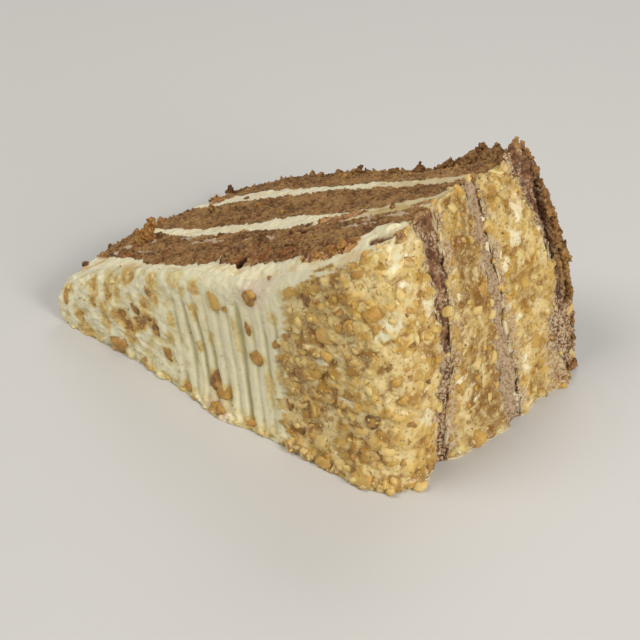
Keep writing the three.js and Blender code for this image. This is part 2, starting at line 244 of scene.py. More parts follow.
frosting_to_top_sponge = meeting(
    line_through((20, 17), (31, 15), (46, 8.6), (74, 6.8), (98, 8.4), (108, 9.8), (115, 19.5)), 112,
    up_the_side((0, 16.5), (0.3, 17.8), (0.5, 19.8), (0.7, 19.5), (0.86, 18.5), (1, 19)), 3,
    spikes=((27, 0.8, 1.4), (36, 0.9, 1.2), (56.5, 1.2, 1.2), (62.5, 1.6, 2.6), (64.3, 2.2, 1.1),
            (67.5, 1, 0.8), (69.2, 1.1, 0.7), (76.5, 1.1, 1), (79.5, 0.9, 0.8), (84, 0.8, 1.6)))
top_sponge_to_upper_filling = meeting(
    line_through((24, 34), (40, 31.6), (50, 31), (63, 29.4), (69, 28.4), (86, 28), (98, 27.6),
                 (118, 30)), side_start,
    up_the_side((0, 22.5), (0.28, 22), (0.47, 24.5), (0.67, 25.5), (0.81, 26.8), (1, 28.5)), 5,
    spikes=((44, -1, 1.6), (53, 1.8, 2.4), (70, -0.9, 1.4)), ragged_from=64)
upper_filling_to_middle_sponge = meeting(
    line_through((16, 37.6), (30, 38.8), (39, 38), (50, 36.9), (65, 37), (80, 35.4), (95, 34.8),
                 (118, 37.4)), side_start,
    up_the_side((0, 45), (0.33, 45.2), (0.53, 45.8), (0.74, 44.2), (1, 46.2)), 7,
    spikes=((50, 1, 1.2), (61, 2.6, 0.9), (66, 1.2, 1), (72.5, 1.8, 1.3)), ragged_from=62)
middle_sponge_to_lower_filling = meeting(
    line_through((19, 60.8), (46, 59.2), (63, 58), (88, 53.3), (104, 50), (120, 47)), side_start,
    up_the_side((0, 52.5), (0.28, 52), (0.5, 50.8), (0.71, 50), (1, 52)), 9)
lower_filling_to_bottom_sponge = meeting(
    line_through((14, 70), (31, 70), (45, 67), (72, 61), (102, 55), (120, 54)), 108,
    up_the_side((0, 75), (0.13, 73.2), (0.23, 70), (0.31, 72), (0.4, 77), (0.53, 78), (0.77, 73),
                (1, 72)), 11)


def base_of_cake(reach, turn):
    return np.full(np.broadcast(reach, turn).shape, float(cake_height))


def combed_face(reach, turn):
    """The combed face without its ridges: a rounded shoulder, a foot that bulges, and an edge
    that rolls over into the upper cut."""
    over_shoulder = np.clip((reach - rim_radius + rim_round_reach) / rim_round_reach, 0, 1)
    shoulder = rim_round_drop * (1 - np.sqrt(1 - over_shoulder ** 2))
    foot = foot_bulge * (1 - turn) ** 5 * smoothstep(reach, 30, 60)
    foot = foot + foot_heap * (1 - turn) ** 9 * np.exp(-((reach - 65) / 8) ** 2)
    roll = (lerp(tip_roll, edge_roll, smoothstep(reach, 24, 62))
            * (1 + 0.3 * uneven(reach * 0.6, 2.0, 17)))
    arc_reach, sweep = arc_at(reach)
    over_edge = np.clip(1 - (1 - turn) * (arc_reach * sweep) / roll, 0, 1)
    rolled = roll * (1 - np.sqrt(1 - over_edge ** 2)) * (1 - smoothstep(reach, 104, 116))
    return shoulder - foot + rolled


# ---- the nut coat ----

bare_spots = (     # cream without nuts, as reach, turn, y and size
    (118, 0.7, 4, 4.5), (122, 0.17, 19, 5), (122, 0.27, 12, 4), (122, 0.7, 15, 3),
    (122, 0.83, 9, 3), (122, 0.53, 1, 3.5), (122, 0.69, 62, 4.5), (122, 0.8, 68, 4),
    (122, 0.64, 53.5, 4), (122, 0.22, 57, 4.5), (122, 0.06, 54, 4),
    (122, 0.24, 80, 4), (122, 0.06, 82, 4), (121, 0.97, 8, 6), (113, 0.99, 5, 4))


def nut_edge(turn):
    """The nuts come this far in over the combed face, less far towards the upper cut."""
    edge = np.interp(turn, (0, 0.4, 0.62, 0.82, 0.92, 0.97, 1), (87, 88.5, 90, 93, 96, 99, 112))
    return edge + 2 * uneven(turn * 60, 1.0, 4) + 1.5 * uneven(turn * 170, 7.0, 5)


def nut_coat(reach, turn, y, on_cut):
    """How thickly nuts are pressed on: 1 where they touch each other. On the upper cut they only
    come over its edge."""
    arc = turn * reach * 0.5
    ring = smoothstep(reach, nut_edge(turn) - 3, nut_edge(turn) + 2)
    by_edge = 1 - smoothstep(y + 1.2 * uneven(reach * 1.3, 3.0, 6), 2.0, 4.2)
    over_edge = np.maximum(smoothstep(reach, 97, 104) * by_edge,
                           smoothstep(reach + 0.7 * uneven(y * 1.7, 2.0, 7), 119.5, 121))
    ring = np.where(on_cut, over_edge, ring)
    ragged = 1.6 * uneven(arc * 2.1, y * 2.3 + reach, 9) + 1.0 * uneven(arc * 5, y * 5 + reach, 19)
    bare = smoothstep(uneven(reach * 0.6 + y * 0.5, arc * 0.9, 21) + ragged * 0.12, 0.78, 0.98)
    for spot_reach, spot_turn, spot_y, size in bare_spots:
        apart = np.sqrt((reach - spot_reach) ** 2 + ((turn - spot_turn) * side_rise) ** 2
                        + (y - spot_y) ** 2)
        bare = np.maximum(bare, 1 - smoothstep(apart + ragged * 1.4, size * 0.4, size))
    return ring * (1 - 0.68 * bare)


# ---- nuts in the frosting ----

nut_proud = 0.45
flat_sides = 8          # of a chopped nut; the last one cut is its skin
uncut = 1.25            # a nut's size before flat sides are cut off it
nut_stain = 0.35        # how deeply the cream is stained round a nut that shows
nuts_in_comb = (    # reach, turn, length up the face, width, tone, how brown its skin is, and
    # how far it stands out where that isn't the usual
    (4.5, 0.72, 4, 1.5, 0.9, 0.2), (18.2, 0.69, 2.6, 1.1, 0.95, 0.4),
    (24.5, 0.73, 2, 1, 0.99, 1), (36.2, 0.68, 4, 1.9, 0.96, 0.6),
    (40.2, 0.65, 2.2, 2.3, 0.93, 0.6), (41.5, 0.6, 2, 3, 0.99, 0.9),
    (43.5, 0.85, 3.6, 1.3, 0.99, 1), (42.5, 0.52, 5.4, 1.9, 0.97, 0.8),
    (30.5, 0.6, 1.3, 1, 0.98, 0.8), (34.5, 0.05, 2.8, 2.2, 0.9, 0.3),
    (24.2, 0.07, 5.6, 6, 0.93, 0.3, 1.4), (45.5, 0.27, 4.2, 2.1, 0.96, 0.6),
    (68, 0.84, 6.4, 4.4, 0.45, 0), (71.5, 0.8, 1.2, 1.2, 0.99, 1),
    (63.2, 0.21, 6, 4.4, 0.97, 0.9), (66.3, 0.16, 4, 6, 0.86, 0.2),
    (81.8, 0.915, 4.2, 3.9, 0.75, 0.9, 1.3), (78.5, 0.69, 4.2, 1.3, 0.99, 1),
    (80.2, 0.48, 4.2, 5, 0.9, 0.3), (87.8, 0.6, 2, 2.6, 0.95, 0.5),
    (96, 0.92, 3.4, 6.4, 0.55, 0), (103, 0.94, 4.6, 6.2, 0.6, 0),
    (100.5, 0.86, 1.9, 3.2, 0.98, 1), (103.5, 0.68, 7, 6.4, 0.4, 0),
    (105.5, 0.8, 3.4, 4, 0.97, 0.8), (96.2, 0.66, 4.4, 3.4, 0.55, 0),
    (97, 0.59, 3.6, 4.6, 0.45, 0), (99.8, 0.49, 5.4, 4.4, 0.6, 0),
    (110.5, 0.72, 5, 4.4, 0.5, 0), (109.2, 0.57, 3.4, 4.6, 0.93, 0.5),
    (118.5, 0.97, 5.2, 4.6, 0.75, 0), (115.5, 0.77, 6, 5, 0.75, 0),
    (62, 0.04, 3.4, 4.6, 0.85, 0.1), (90.2, 0.25, 3.4, 3.4, 0.95, 0.7),
    (92.5, 0.14, 3.6, 3.2, 0.95, 0.7), (75, 0.04, 2.4, 3.6, 0.88, 0.2),
    (52, 0.06, 2.2, 2.6, 0.92, 0.4), (65.5, 0.05, 3, 3.2, 0.9, 0.4, 0.9),
    (100, 0.03, 3, 4.2, 0.5, 0.3, 1.4), (112, 0.04, 4, 5.2, 0.4, 0, 1.6))
nuts_in_side = (    # turn, y, length up the side, width, tone, how brown its skin is
    (0.76, 14.2, 2.2, 2, 0.92, 0.6), (0.64, 15, 3.6, 4.2, 0.8, 0.2),
    (0.55, 10.8, 5.4, 5.4, 0.2, 0), (0.54, 2.8, 4.4, 1.8, 0.95, 0.9),
    (0.61, 8.8, 1.4, 3.4, 0.99, 1), (0.28, 28.2, 8, 5.4, 0.84, 0.4),
    (0.51, 36.5, 4.6, 3, 0.8, 0.7), (0.53, 26.8, 4, 3.6, 0.7, 0),
    (0.13, 56, 2.6, 2.6, 0.84, 0.2), (0.24, 63.8, 7, 8, 0.6, 0),
    (0.22, 3, 4.6, 3.2, 0.9, 0.4), (0.35, 12, 3.4, 2.4, 0.9, 0.4),
    (0.26, 81.6, 2.2, 4, 0, 0), (0.06, 81.6, 5.4, 2.4, 0, 0),
    (0.95, 33, 7.5, 5.4, 0.3, 0), (0.74, 31.5, 9, 5.6, 0.45, 0),
    (0.93, 61, 8, 9, 0.6, 0), (0.66, 66, 4.6, 4.2, 0.7, 0))
stained_places = (    # where nuts show through the cream: reach, turn, length, width, depth
    (9.5, 0.36, 4, 2.6, 0.7), (11, 0.14, 4, 6, 0.6), (19.5, 0.83, 5, 2, 0.45),
    (25.5, 0.84, 6.4, 2.6, 0.55), (29, 0.86, 4.6, 1.8, 0.4), (33.5, 0.97, 4, 5.4, 0.45),
    (22, 0.6, 3.2, 3, 0.5), (21, 0.43, 5, 1.8, 0.45), (28, 0.56, 4, 6, 0.6),
    (45, 0.92, 3.2, 3.4, 0.5), (41, 0.74, 4.4, 2.8, 0.5), (45, 0.82, 5, 2.6, 0.5),
    (32, 0.46, 4.4, 5, 0.75), (37.2, 0.53, 4, 3.6, 0.85), (30.5, 0.3, 3, 3.4, 0.45),
    (41, 0.59, 4, 4, 0.8), (61.5, 0.92, 2.6, 2, 0.5), (59.8, 0.74, 4.4, 2, 0.45),
    (50.2, 0.63, 4, 1.8, 0.4), (48.5, 0.45, 3.4, 2.6, 0.4), (59, 0.45, 3, 1.5, 0.5),
    (64, 0.53, 4.6, 1.8, 0.45), (88.2, 0.77, 4.6, 2.6, 0.4), (87.8, 0.42, 6, 2.2, 0.4),
    (54, 0.95, 3, 3, 0.35), (57, 0.88, 2.4, 1.6, 0.4), (74, 0.62, 12, 1.2, 0.25),
    (84, 0.3, 12, 2, 0.35))
blushed_places = (    # pinkish, where crumb got into the cream: the same five values
    (81.8, 0.925, 9, 8, 0.75), (85.5, 0.985, 4, 7, 0.8), (64, 0.05, 5, 9, 0.7))


def marks_on_comb(places, reach, turn):
    """How deeply the marked places tint the cream: 1 right on a brown nut."""
    ragged_reach = reach + 0.7 * uneven(reach * 1.9, turn * 90, 41)
    ragged_turn = turn + 0.012 * uneven(turn * 120, reach * 1.7, 43)
    tinted = np.zeros(np.broadcast(reach, turn).shape)
    for at_reach, at_turn, length, width, depth in places:
        arc_reach, sweep = arc_at(at_reach)
        apart = np.hypot((ragged_reach - at_reach) / (width * 0.5 + 0.6),
                         (ragged_turn - at_turn) * (arc_reach * sweep) / (length * 0.5 + 0.6))
        tinted = np.maximum(tinted, depth * (1 - smoothstep(apart, 0.6, 1.3)))
    return tinted


# ---- crumb dust on the side ----

gap_line = line_through((0.3, 78.6), (0.48, 78.6), (0.57, 79.5), (0.67, 79.8), (0.8, 80.6),
                        eased=0.04)


def dust_on_band(turn, from_front, from_back, y):
    """How thickly crumb dust lies on the cream of the side, by how far the sponges are."""
    ragged = uneven(turn * 130, y * 2.1, 61) + 0.6 * uneven(turn * 310, y * 4.1, 63)
    by_front = 1 - smoothstep(from_front + ragged, 1.0, 4.6)
    by_back = 0.8 * (1 - smoothstep(from_back + ragged, 0.4, 2.4))
    low_corner = ((1 - smoothstep(turn + 0.03 * ragged, 0.12, 0.4))
                  * smoothstep(y + ragged, 64, 70))
    return np.maximum(np.maximum(by_front, by_back), low_corner)


def split_base(turn, y):
    """Near its lower edge the side is split: a gap, and beyond it torn crumb."""
    window = smoothstep(turn, 0.26, 0.38) * (1 - smoothstep(turn, 0.74, 0.86))
    off_gap = y - gap_line(turn) + 0.4 * uneven(turn * 120, 1.0, 65)
    gap = window * (1 - smoothstep(np.abs(off_gap), 0.2, 1.1))
    return gap, np.maximum(window, 0.35) * smoothstep(off_gap, 0.4, 1.4)


# ---- what the knife left on the upper cut ----

torn_places = (    # reach, y, half width along and across the slice, height (or depth when < 0)
    (73.2, 8.2, 2, 2, -2.6), (83, 23.2, 4.2, 2.6, -2), (79.5, 14.2, 1.6, 1.2, -0.9),
    (117.4, 10.4, 3.8, 2.2, -2.4), (63.7, 10.2, 1.1, 1.6, 1.3), (44, 43, 3.5, 1.6, -1),
    (97, 51, 4, 1.4, -1), (30, 55, 3, 1.5, -0.8), (12.5, 27, 2.5, 1.4, -1.2),
    (108, 66, 3, 2, -1.2), (53, 22, 3, 1.5, -0.8), (118.5, 79, 2.8, 2.6, -2.4),
    (112.5, 81, 3, 2, -1.4), (115, 16, 3.6, 3, 1))


def apart_from(reach, y, at_reach, at_y, half_along, half_across):
    """How far places lie from the middle of an oval, squared: 1 at its edge."""
    return ((reach - at_reach) / half_along) ** 2 + ((y - at_y) / half_across) ** 2


def torn(reach, y):
    """Hollows where a piece of carrot or nut was dragged out, and peaks of cream and crumb."""
    ragged_reach = reach + 0.8 * uneven(reach * 2.1, y * 2.6, 31)
    ragged_y = y + 0.5 * uneven(y * 3.1, reach * 2.3, 33)
    lift = np.zeros(np.broadcast(reach, y).shape)
    for *oval, height in torn_places:
        apart = apart_from(ragged_reach, ragged_y, *oval)
        lift += height * (1 - smoothstep(apart, 0.25, 1.1))
    return lift


# Smudges of the knife, as reach, y, half width along and across the slice, and how thick.
crumbs_over_cream = (
    (97.5, 7.4, 4, 2.2, 1), (102.5, 8, 4.5, 2.6, 1), (108, 8.6, 4, 2.6, 1),
    (54, 30.4, 3.2, 1.4, 0.8), (85.5, 30.5, 3, 3.6, 0.9), (90, 31, 4, 3.6, 0.85),
    (95.5, 31.5, 3.4, 3, 0.8), (106, 32, 9, 3, 0.5), (116, 33, 5, 3.4, 0.6),
    (73, 62.5, 1.8, 4, 0.9), (12, 69, 6, 6, 0.9), (88, 57, 5, 3, 0.4), (101, 54.5, 4, 2.4, 0.35),
    (113, 50, 5, 2, 0.4), (36, 69, 2.4, 1.2, 0.6))
cream_over_crumb = (
    (71.7, 20.8, 3.4, 1.6, 0.9), (99, 22.2, 4, 0.9, 0.8), (105.7, 23, 4, 0.8, 0.7),
    (103, 26.2, 4, 0.7, 0.7), (18.2, 29, 3, 1.2, 0.8), (13, 23.5, 3, 1.5, 0.7),
    (11, 19.2, 2.4, 1, 0.7), (42.7, 27, 5.5, 1.6, 0.75), (50, 25, 4, 1.2, 0.65),
    (112, 26.5, 5, 1.6, 0.75), (32, 31.5, 4, 1.2, 0.6), (25, 22, 5, 1.2, 0.5),
    (62, 24, 3, 0.9, 0.55))


def smudged(smudges, reach, y):
    """How thickly something was smeared over the cut."""
    ragged_reach = reach + 0.9 * uneven(reach * 2.3, y * 2.1, 51)
    ragged_y = y + 0.6 * uneven(y * 3.3, reach * 2.7, 53)
    cover = np.zeros(np.broadcast(reach, y).shape)
    for *oval, thick in smudges:
        apart = apart_from(ragged_reach, ragged_y, *oval)
        cover = np.maximum(cover, thick * (1 - smoothstep(apart, 0.4, 1.3)))
    return cover


# ---- node trees written as formulas ----

def arithmetic(operation, swapped=False):
    """What an operator of Wire does: it adds a node for its sum, product and so on."""
    def result(self, other):
        return self.graph.math(operation, *((other, self) if swapped else (self, other)))
    return result


class Wire:
    """What comes out of a node, with the arithmetic that the formulas need."""

    def __init__(self, graph, socket):
        self.graph, self.socket = graph, socket

    __add__ = __radd__ = arithmetic("ADD")
    __sub__ = arithmetic("SUBTRACT")
    __rsub__ = arithmetic("SUBTRACT", swapped=True)
    __mul__ = arithmetic("MULTIPLY")
    __truediv__ = arithmetic("DIVIDE")
    __rtruediv__ = arithmetic("DIVIDE", swapped=True)
    __pow__ = arithmetic("POWER")


class Graph:
    """A node tree that grows as its formulas are written down."""

    def __init__(self, tree):
        self.tree = tree

    def add(self, kind, inputs=(), **settings):
        node = self.tree.nodes.new(kind)
        for name, value in settings.items():
            setattr(node, name, value)
        for key, value in dict(inputs).items():
            self.plug(node.inputs[key], value)
        return node

    def plug(self, socket, value):
        if isinstance(value, Wire):
            value = value.socket
        if isinstance(value, bpy.types.NodeSocket):
            self.tree.links.new(value, socket)
        else:
            socket.default_value = value

    def out(self, kind, inputs=(), output=0, **settings):
        return Wire(self, self.add(kind, inputs, **settings).outputs[output])

    def math(self, operation, *values):
        return self.out("ShaderNodeMath", dict(enumerate(values)), operation=operation)

    def step(self, value, start, end):
        """0 below start and 1 above end, or the other way round, with a soft change."""
        return self.out("ShaderNodeMapRange", {
            "Value": value, "From Min": start, "From Max": end}, interpolation_type="SMOOTHSTEP")

    def noise(self, place, size, detail=3.0, roughness=0.5, output="Fac"):
        return self.out("ShaderNodeTexNoise", {
            "Vector": place, "Scale": 1 / size, "Detail": detail, "Roughness": roughness},
            output=output)

    def cells(self, place, size, output="Distance", feature="F1", smoothness=None):
        inputs = {"Vector": place, "Scale": 1 / size}
        if smoothness is not None:
            inputs["Smoothness"] = smoothness
        return self.out("ShaderNodeTexVoronoi", inputs, output=output, feature=feature)

    def along(self, vector, length):
        return self.out("ShaderNodeVectorMath", {0: vector, "Scale": length}, operation="SCALE")

    def shift(self, vector, other):
        return self.out("ShaderNodeVectorMath", {0: vector, 1: other}, operation="ADD")

    def strayed(self, place, size, length):
        """Places strewn about by up to a length, by a noise of a size."""
        return self.shift(place, self.along(
            self.noise(place, size, detail=2.0, output="Color"), length))

    def parts(self, vector):
        node = self.add("ShaderNodeSeparateXYZ", {0: vector})
        return [Wire(self, socket) for socket in node.outputs]

    def vector(self, x, y, z):
        return self.out("ShaderNodeCombineXYZ", {0: x, 1: y, 2: z})

    def mix(self, share, first, second):
        """A mix of two shades, each from a node or as red, green and blue on the screen."""
        first, second = (
            colour(*shade) if isinstance(shade, tuple) else shade for shade in (first, second))
        node = self.add("ShaderNodeMix", {0: share, 6: first, 7: second}, data_type="RGBA")
        return Wire(self, node.outputs[2])


socket_kinds = {
    float: "NodeSocketFloat", int: "NodeSocketInt", str: "NodeSocketString",
    bpy.types.Material: "NodeSocketMaterial", bpy.types.Collection: "NodeSocketCollection"}


class GeometryGraph(Graph):
    """A Geometry Nodes tree with named inputs, given as name: usual value or kind, and its
    finish."""

    def __init__(self, name, **sizes):
        super().__init__(bpy.data.node_groups.new(name, "GeometryNodeTree"))
        sizes["finish"] = bpy.types.Material
        interface = self.tree.interface
        interface.new_socket("Geometry", in_out="INPUT", socket_type="NodeSocketGeometry")
        for label, usual in sizes.items():
            kind = usual if isinstance(usual, type) else type(usual)
            socket = interface.new_socket(label, in_out="INPUT", socket_type=socket_kinds[kind])
            if kind is not usual:
                socket.default_value = usual
        interface.new_socket("Geometry", in_out="OUTPUT", socket_type="NodeSocketGeometry")
        entry = self.add("NodeGroupInput")
        self.start = Wire(self, entry.outputs["Geometry"])
        self.sizes = {label: Wire(self, entry.outputs[label]) for label in sizes}
        self.place = self.out("GeometryNodeInputPosition")
        self.normal = self.out("GeometryNodeInputNormal")

    def painted(self, name):
        """The value that the mesh carries under this name."""
        return self.out("GeometryNodeInputNamedAttribute", {"Name": name}, data_type="FLOAT")

    def moved(self, geometry, offset):
        return self.out("GeometryNodeSetPosition", {"Geometry": geometry, "Offset": offset})

    def kept(self, geometry, domain="POINT", **values):
        """The geometry, which now carries these values under their names."""
        for name, value in values.items():
            geometry = self.out("GeometryNodeStoreNamedAttribute", {
                "Geometry": geometry, "Name": name, "Value": value}, data_type="FLOAT",
                domain=domain)
        return geometry

    def above_plate(self, geometry):
        """Nothing goes through the plate."""
        x, y, z = self.parts(self.place)
        return self.out("GeometryNodeSetPosition", {
            "Geometry": geometry, "Position": self.vector(x, y, self.math("MAXIMUM", z, 0.0))})

    def finish(self, geometry):
        shaded = self.out("GeometryNodeSetShadeSmooth", {
            "Geometry": self.above_plate(geometry), "Shade Smooth": True})
        covered = self.out("GeometryNodeSetMaterial", {
            "Geometry": shaded, "Material": self.sizes["finish"]})
        self.add("NodeGroupOutput", {"Geometry": covered})
        return self.tree


def mark(mesh, **marks):
    """The mesh carries these marks: a value for each of its points."""
    for label, values in marks.items():
        mesh.attributes.new(label, "FLOAT", "POINT").data.foreach_set(
            "value", np.asarray(values, np.float32))


def mesh_of(shape, name):
    """A mesh of what was built up in shape, which isn't needed any more."""
    mesh = bpy.data.meshes.new(name)
    shape.to_mesh(mesh)
    shape.free()
    return mesh


def in_scene(name, data):
    thing = bpy.data.objects.new(name, data)
    bpy.context.scene.collection.objects.link(thing)
    return thing


def fitted(piece, slot, *nodes):
    """The piece stands for these nodes of the cake, which it hides. Its slot is not used."""
    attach(piece, "root")
    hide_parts(*nodes)
    return piece


def made_by(tree, start, name, **sizes):
    """The piece that a tree makes of a start mesh, as a plain mesh."""
    piece = in_scene(name, start)
    modifier = piece.modifiers.new(tree.name, "NODES")
    modifier.node_group = tree
    for item in tree.interface.items_tree:
        if item.in_out == "INPUT" and item.name in sizes:
            modifier[item.identifier] = sizes[item.name]
    bpy.context.view_layer.update()
    graph = bpy.context.evaluated_depsgraph_get()
    mesh = bpy.data.meshes.new_from_object(
        piece.evaluated_get(graph), preserve_all_data_layers=True, depsgraph=graph)
    piece.modifiers.clear()
    piece.data = mesh
    mesh.name = name
    return piece


# ---- relief ----

def crumb_tree():
    """Torn sponge: soft crags, rounded grains of crumb, and pores of several sizes."""
    g = GeometryGraph(
        "torn_sponge", crag_size=7 * MM, crag_height=0.8 * MM, grain_size=1.25 * MM,
        grain_height=0.7 * MM, pore_size=3.0 * MM, pore_depth=1.1 * MM, pored=0.28, seed=0.0)
    size = g.sizes
    place = g.shift(g.place, g.vector(size["seed"], 0.0, 0.0))
    rough = g.strayed(place, size["grain_size"] * 1.5, size["grain_size"] * 1.2)
    crags = g.noise(place, size["crag_size"], detail=5.0, roughness=0.62) - 0.5
    grains = 0.5 - g.cells(rough, size["grain_size"], feature="SMOOTH_F1", smoothness=0.4)
    small_grains = 0.5 - g.cells(rough, size["grain_size"] * 0.5)
    nearness = g.cells(rough, size["pore_size"])
    lot = g.parts(g.cells(rough, size["pore_size"], output="Color"))[0]
    pores = g.step(nearness, 0.45, 0.12) * g.step(lot, 1.0 - size["pored"], 1.02 - size["pored"])
    shown = g.painted("shown")
    height = (crags * size["crag_height"] * 2.0 + grains * size["grain_height"] * 1.6
              + small_grains * size["grain_height"] * 0.5 - pores * size["pore_depth"])
    solid = g.moved(g.start, g.along(g.normal, height * shown))
    return g.finish(g.kept(
        solid, hollow=pores * shown, knob=(grains + small_grains * 0.6 + crags * 0.7) * shown))


def comb_tree():
    """Spread frosting. Straight rounded ridges cross its combed face, of uneven width, with finer
    lines along them; they waver and are smeared flat in places. Chopped nuts bulge under the
    coat, and the foot is lumpy with them."""
    g = GeometryGraph(
        "combed_frosting", ridge_pitch=ridge_pitch * MM, ridge_depth=ridge_depth * MM,
        ridged_from=ridged_from * MM, ridged_to=ridged_to * MM, waver=1.7 * MM,
        lump_size=7 * MM, lump_height=0.6 * MM, chip_size=3.8 * MM, chip_height=1.1 * MM)
    size = g.sizes
    combed, coated, shown = g.painted("combed"), g.painted("coated"), g.painted("shown")
    reach, turn = g.painted("reach") * MM, g.painted("turn")
    across = turn * reach * face_rise

    drift = g.noise(g.vector(reach, across * 0.16, 0.0), 9 * MM, detail=1.5) - 0.5
    phase = (reach + drift * size["waver"] * 2.0) / size["ridge_pitch"]
    crest = g.math("ABSOLUTE", g.math("SINE", phase * math.pi)) ** 1.1
    lot = g.out("ShaderNodeTexWhiteNoise", {"W": g.math("ROUND", phase)}, output="Value",
                noise_dimensions="1D")
    pressed = 0.45 + g.step(lot, 0.1, 0.7) * 0.55
    firm = 0.4 + g.step(g.noise(g.vector(reach, across * 0.5, 0.0), 9 * MM, detail=2.0),
                         0.38, 0.58) * 0.6
    begun = turn + (g.noise(g.vector(reach, 0.0, 0.0), 4 * MM, detail=1.0) - 0.5) * 0.2
    by_edges = (g.step(begun, 0.96, 0.76) * (0.35 + g.step(turn, 0.0, 0.1) * 0.65)
                * g.step(reach, size["ridged_to"], size["ridged_to"] - 8 * MM))
    along_ring = by_edges * (
        0.1 + g.step(reach, size["ridged_from"] + 22 * MM, size["ridged_from"] + 38 * MM) * 0.9)
    between = 1.0 - g.math("ABSOLUTE", g.math("SINE", phase * math.tau + 0.6))
    cut_in = (1.0 - crest) * firm * pressed + between * g.step(lot, 0.7, 0.5) * 0.1
    groove = cut_in * along_ring * combed * (1.0 - coated)
    fine_lines = g.noise(g.vector(reach, across * 0.05, 0.0), 1.4 * MM, detail=2.0) - 0.5
    lines = fine_lines * along_ring * 0.22 * MM * (1.0 - coated) * combed

    lumps = (g.noise(g.place, size["lump_size"]) - 0.5) * size["lump_height"] * 2.0
    small_lumps = (g.noise(g.place, 1.8 * MM) - 0.5) * 0.7 * MM
    daubs = g.noise(g.place, 3.2 * MM, detail=2.0)
    daubed = (daubs - 0.5) * 2.4 * MM * combed * (0.1 + g.step(reach, 60 * MM, 42 * MM) * 0.9)
    spread = lumps * (1.6 - combed * 0.6) + small_lumps * (1.5 - combed * along_ring * 1.3) + daubed

    bent = g.strayed(g.place, size["chip_size"], size["chip_size"] * 0.9)
    chips = 0.5 - g.cells(bent, size["chip_size"])
    bits = 0.5 - g.cells(bent, size["chip_size"] * 0.42)
    nutty = (chips * 1.5 + bits * 0.6) * size["chip_height"] * coated
    crumbs = (0.4 - g.cells(bent, 1.5 * MM)) * 1.5 * MM * g.painted("smudge")
    low = g.step(turn, 0.09, 0.02)
    heaped = (chips + bits * 0.8 + 0.2) * size["chip_height"] * 1.3 * low
    height = (lines - groove * size["ridge_depth"]) + (spread + nutty + crumbs + heaped) * shown
    return g.finish(g.kept(
        g.moved(g.start, g.along(g.normal, height)), groove=groove, daub=daubs,
        # crevice marks where the cream's finish paints shade between the nut chips.
        crevice=g.step(chips + bits * 0.4, 0.08, -0.2) * coated,
        tone=g.parts(g.cells(bent, size["chip_size"], output="Color"))[0]))


# ---- closed blocks of the wedge ----

def stitched(first, second):
    """Triangles between two rows of lattice points with the same ends."""
    faces, a, b = [], 0, 0
    while a < len(first) - 1 or b < len(second) - 1:
        if b == len(second) - 1 or (
                a < len(first) - 1 and (a + 1) / (len(first) - 1) <= (b + 1) / (len(second) - 1)):
            faces.append((first[a], second[b], first[a + 1]))
            a += 1
        else:
            faces.append((first[a], second[b], second[b + 1]))
            b += 1
    return faces


def sheet_of(lattice):
    """Squares of a sheet of lattice points: they face the way its rows turn to its columns."""
    corners = lattice[:-1, :-1], lattice[1:, :-1], lattice[1:, 1:], lattice[:-1, 1:]
    return np.stack(corners, axis=-1).reshape(-1, 4).tolist()


def few(count, rows):
    """A few rows out of many, evenly chosen, with the first and the last."""
    return np.unique(np.linspace(0, count - 1, rows).round().astype(int))


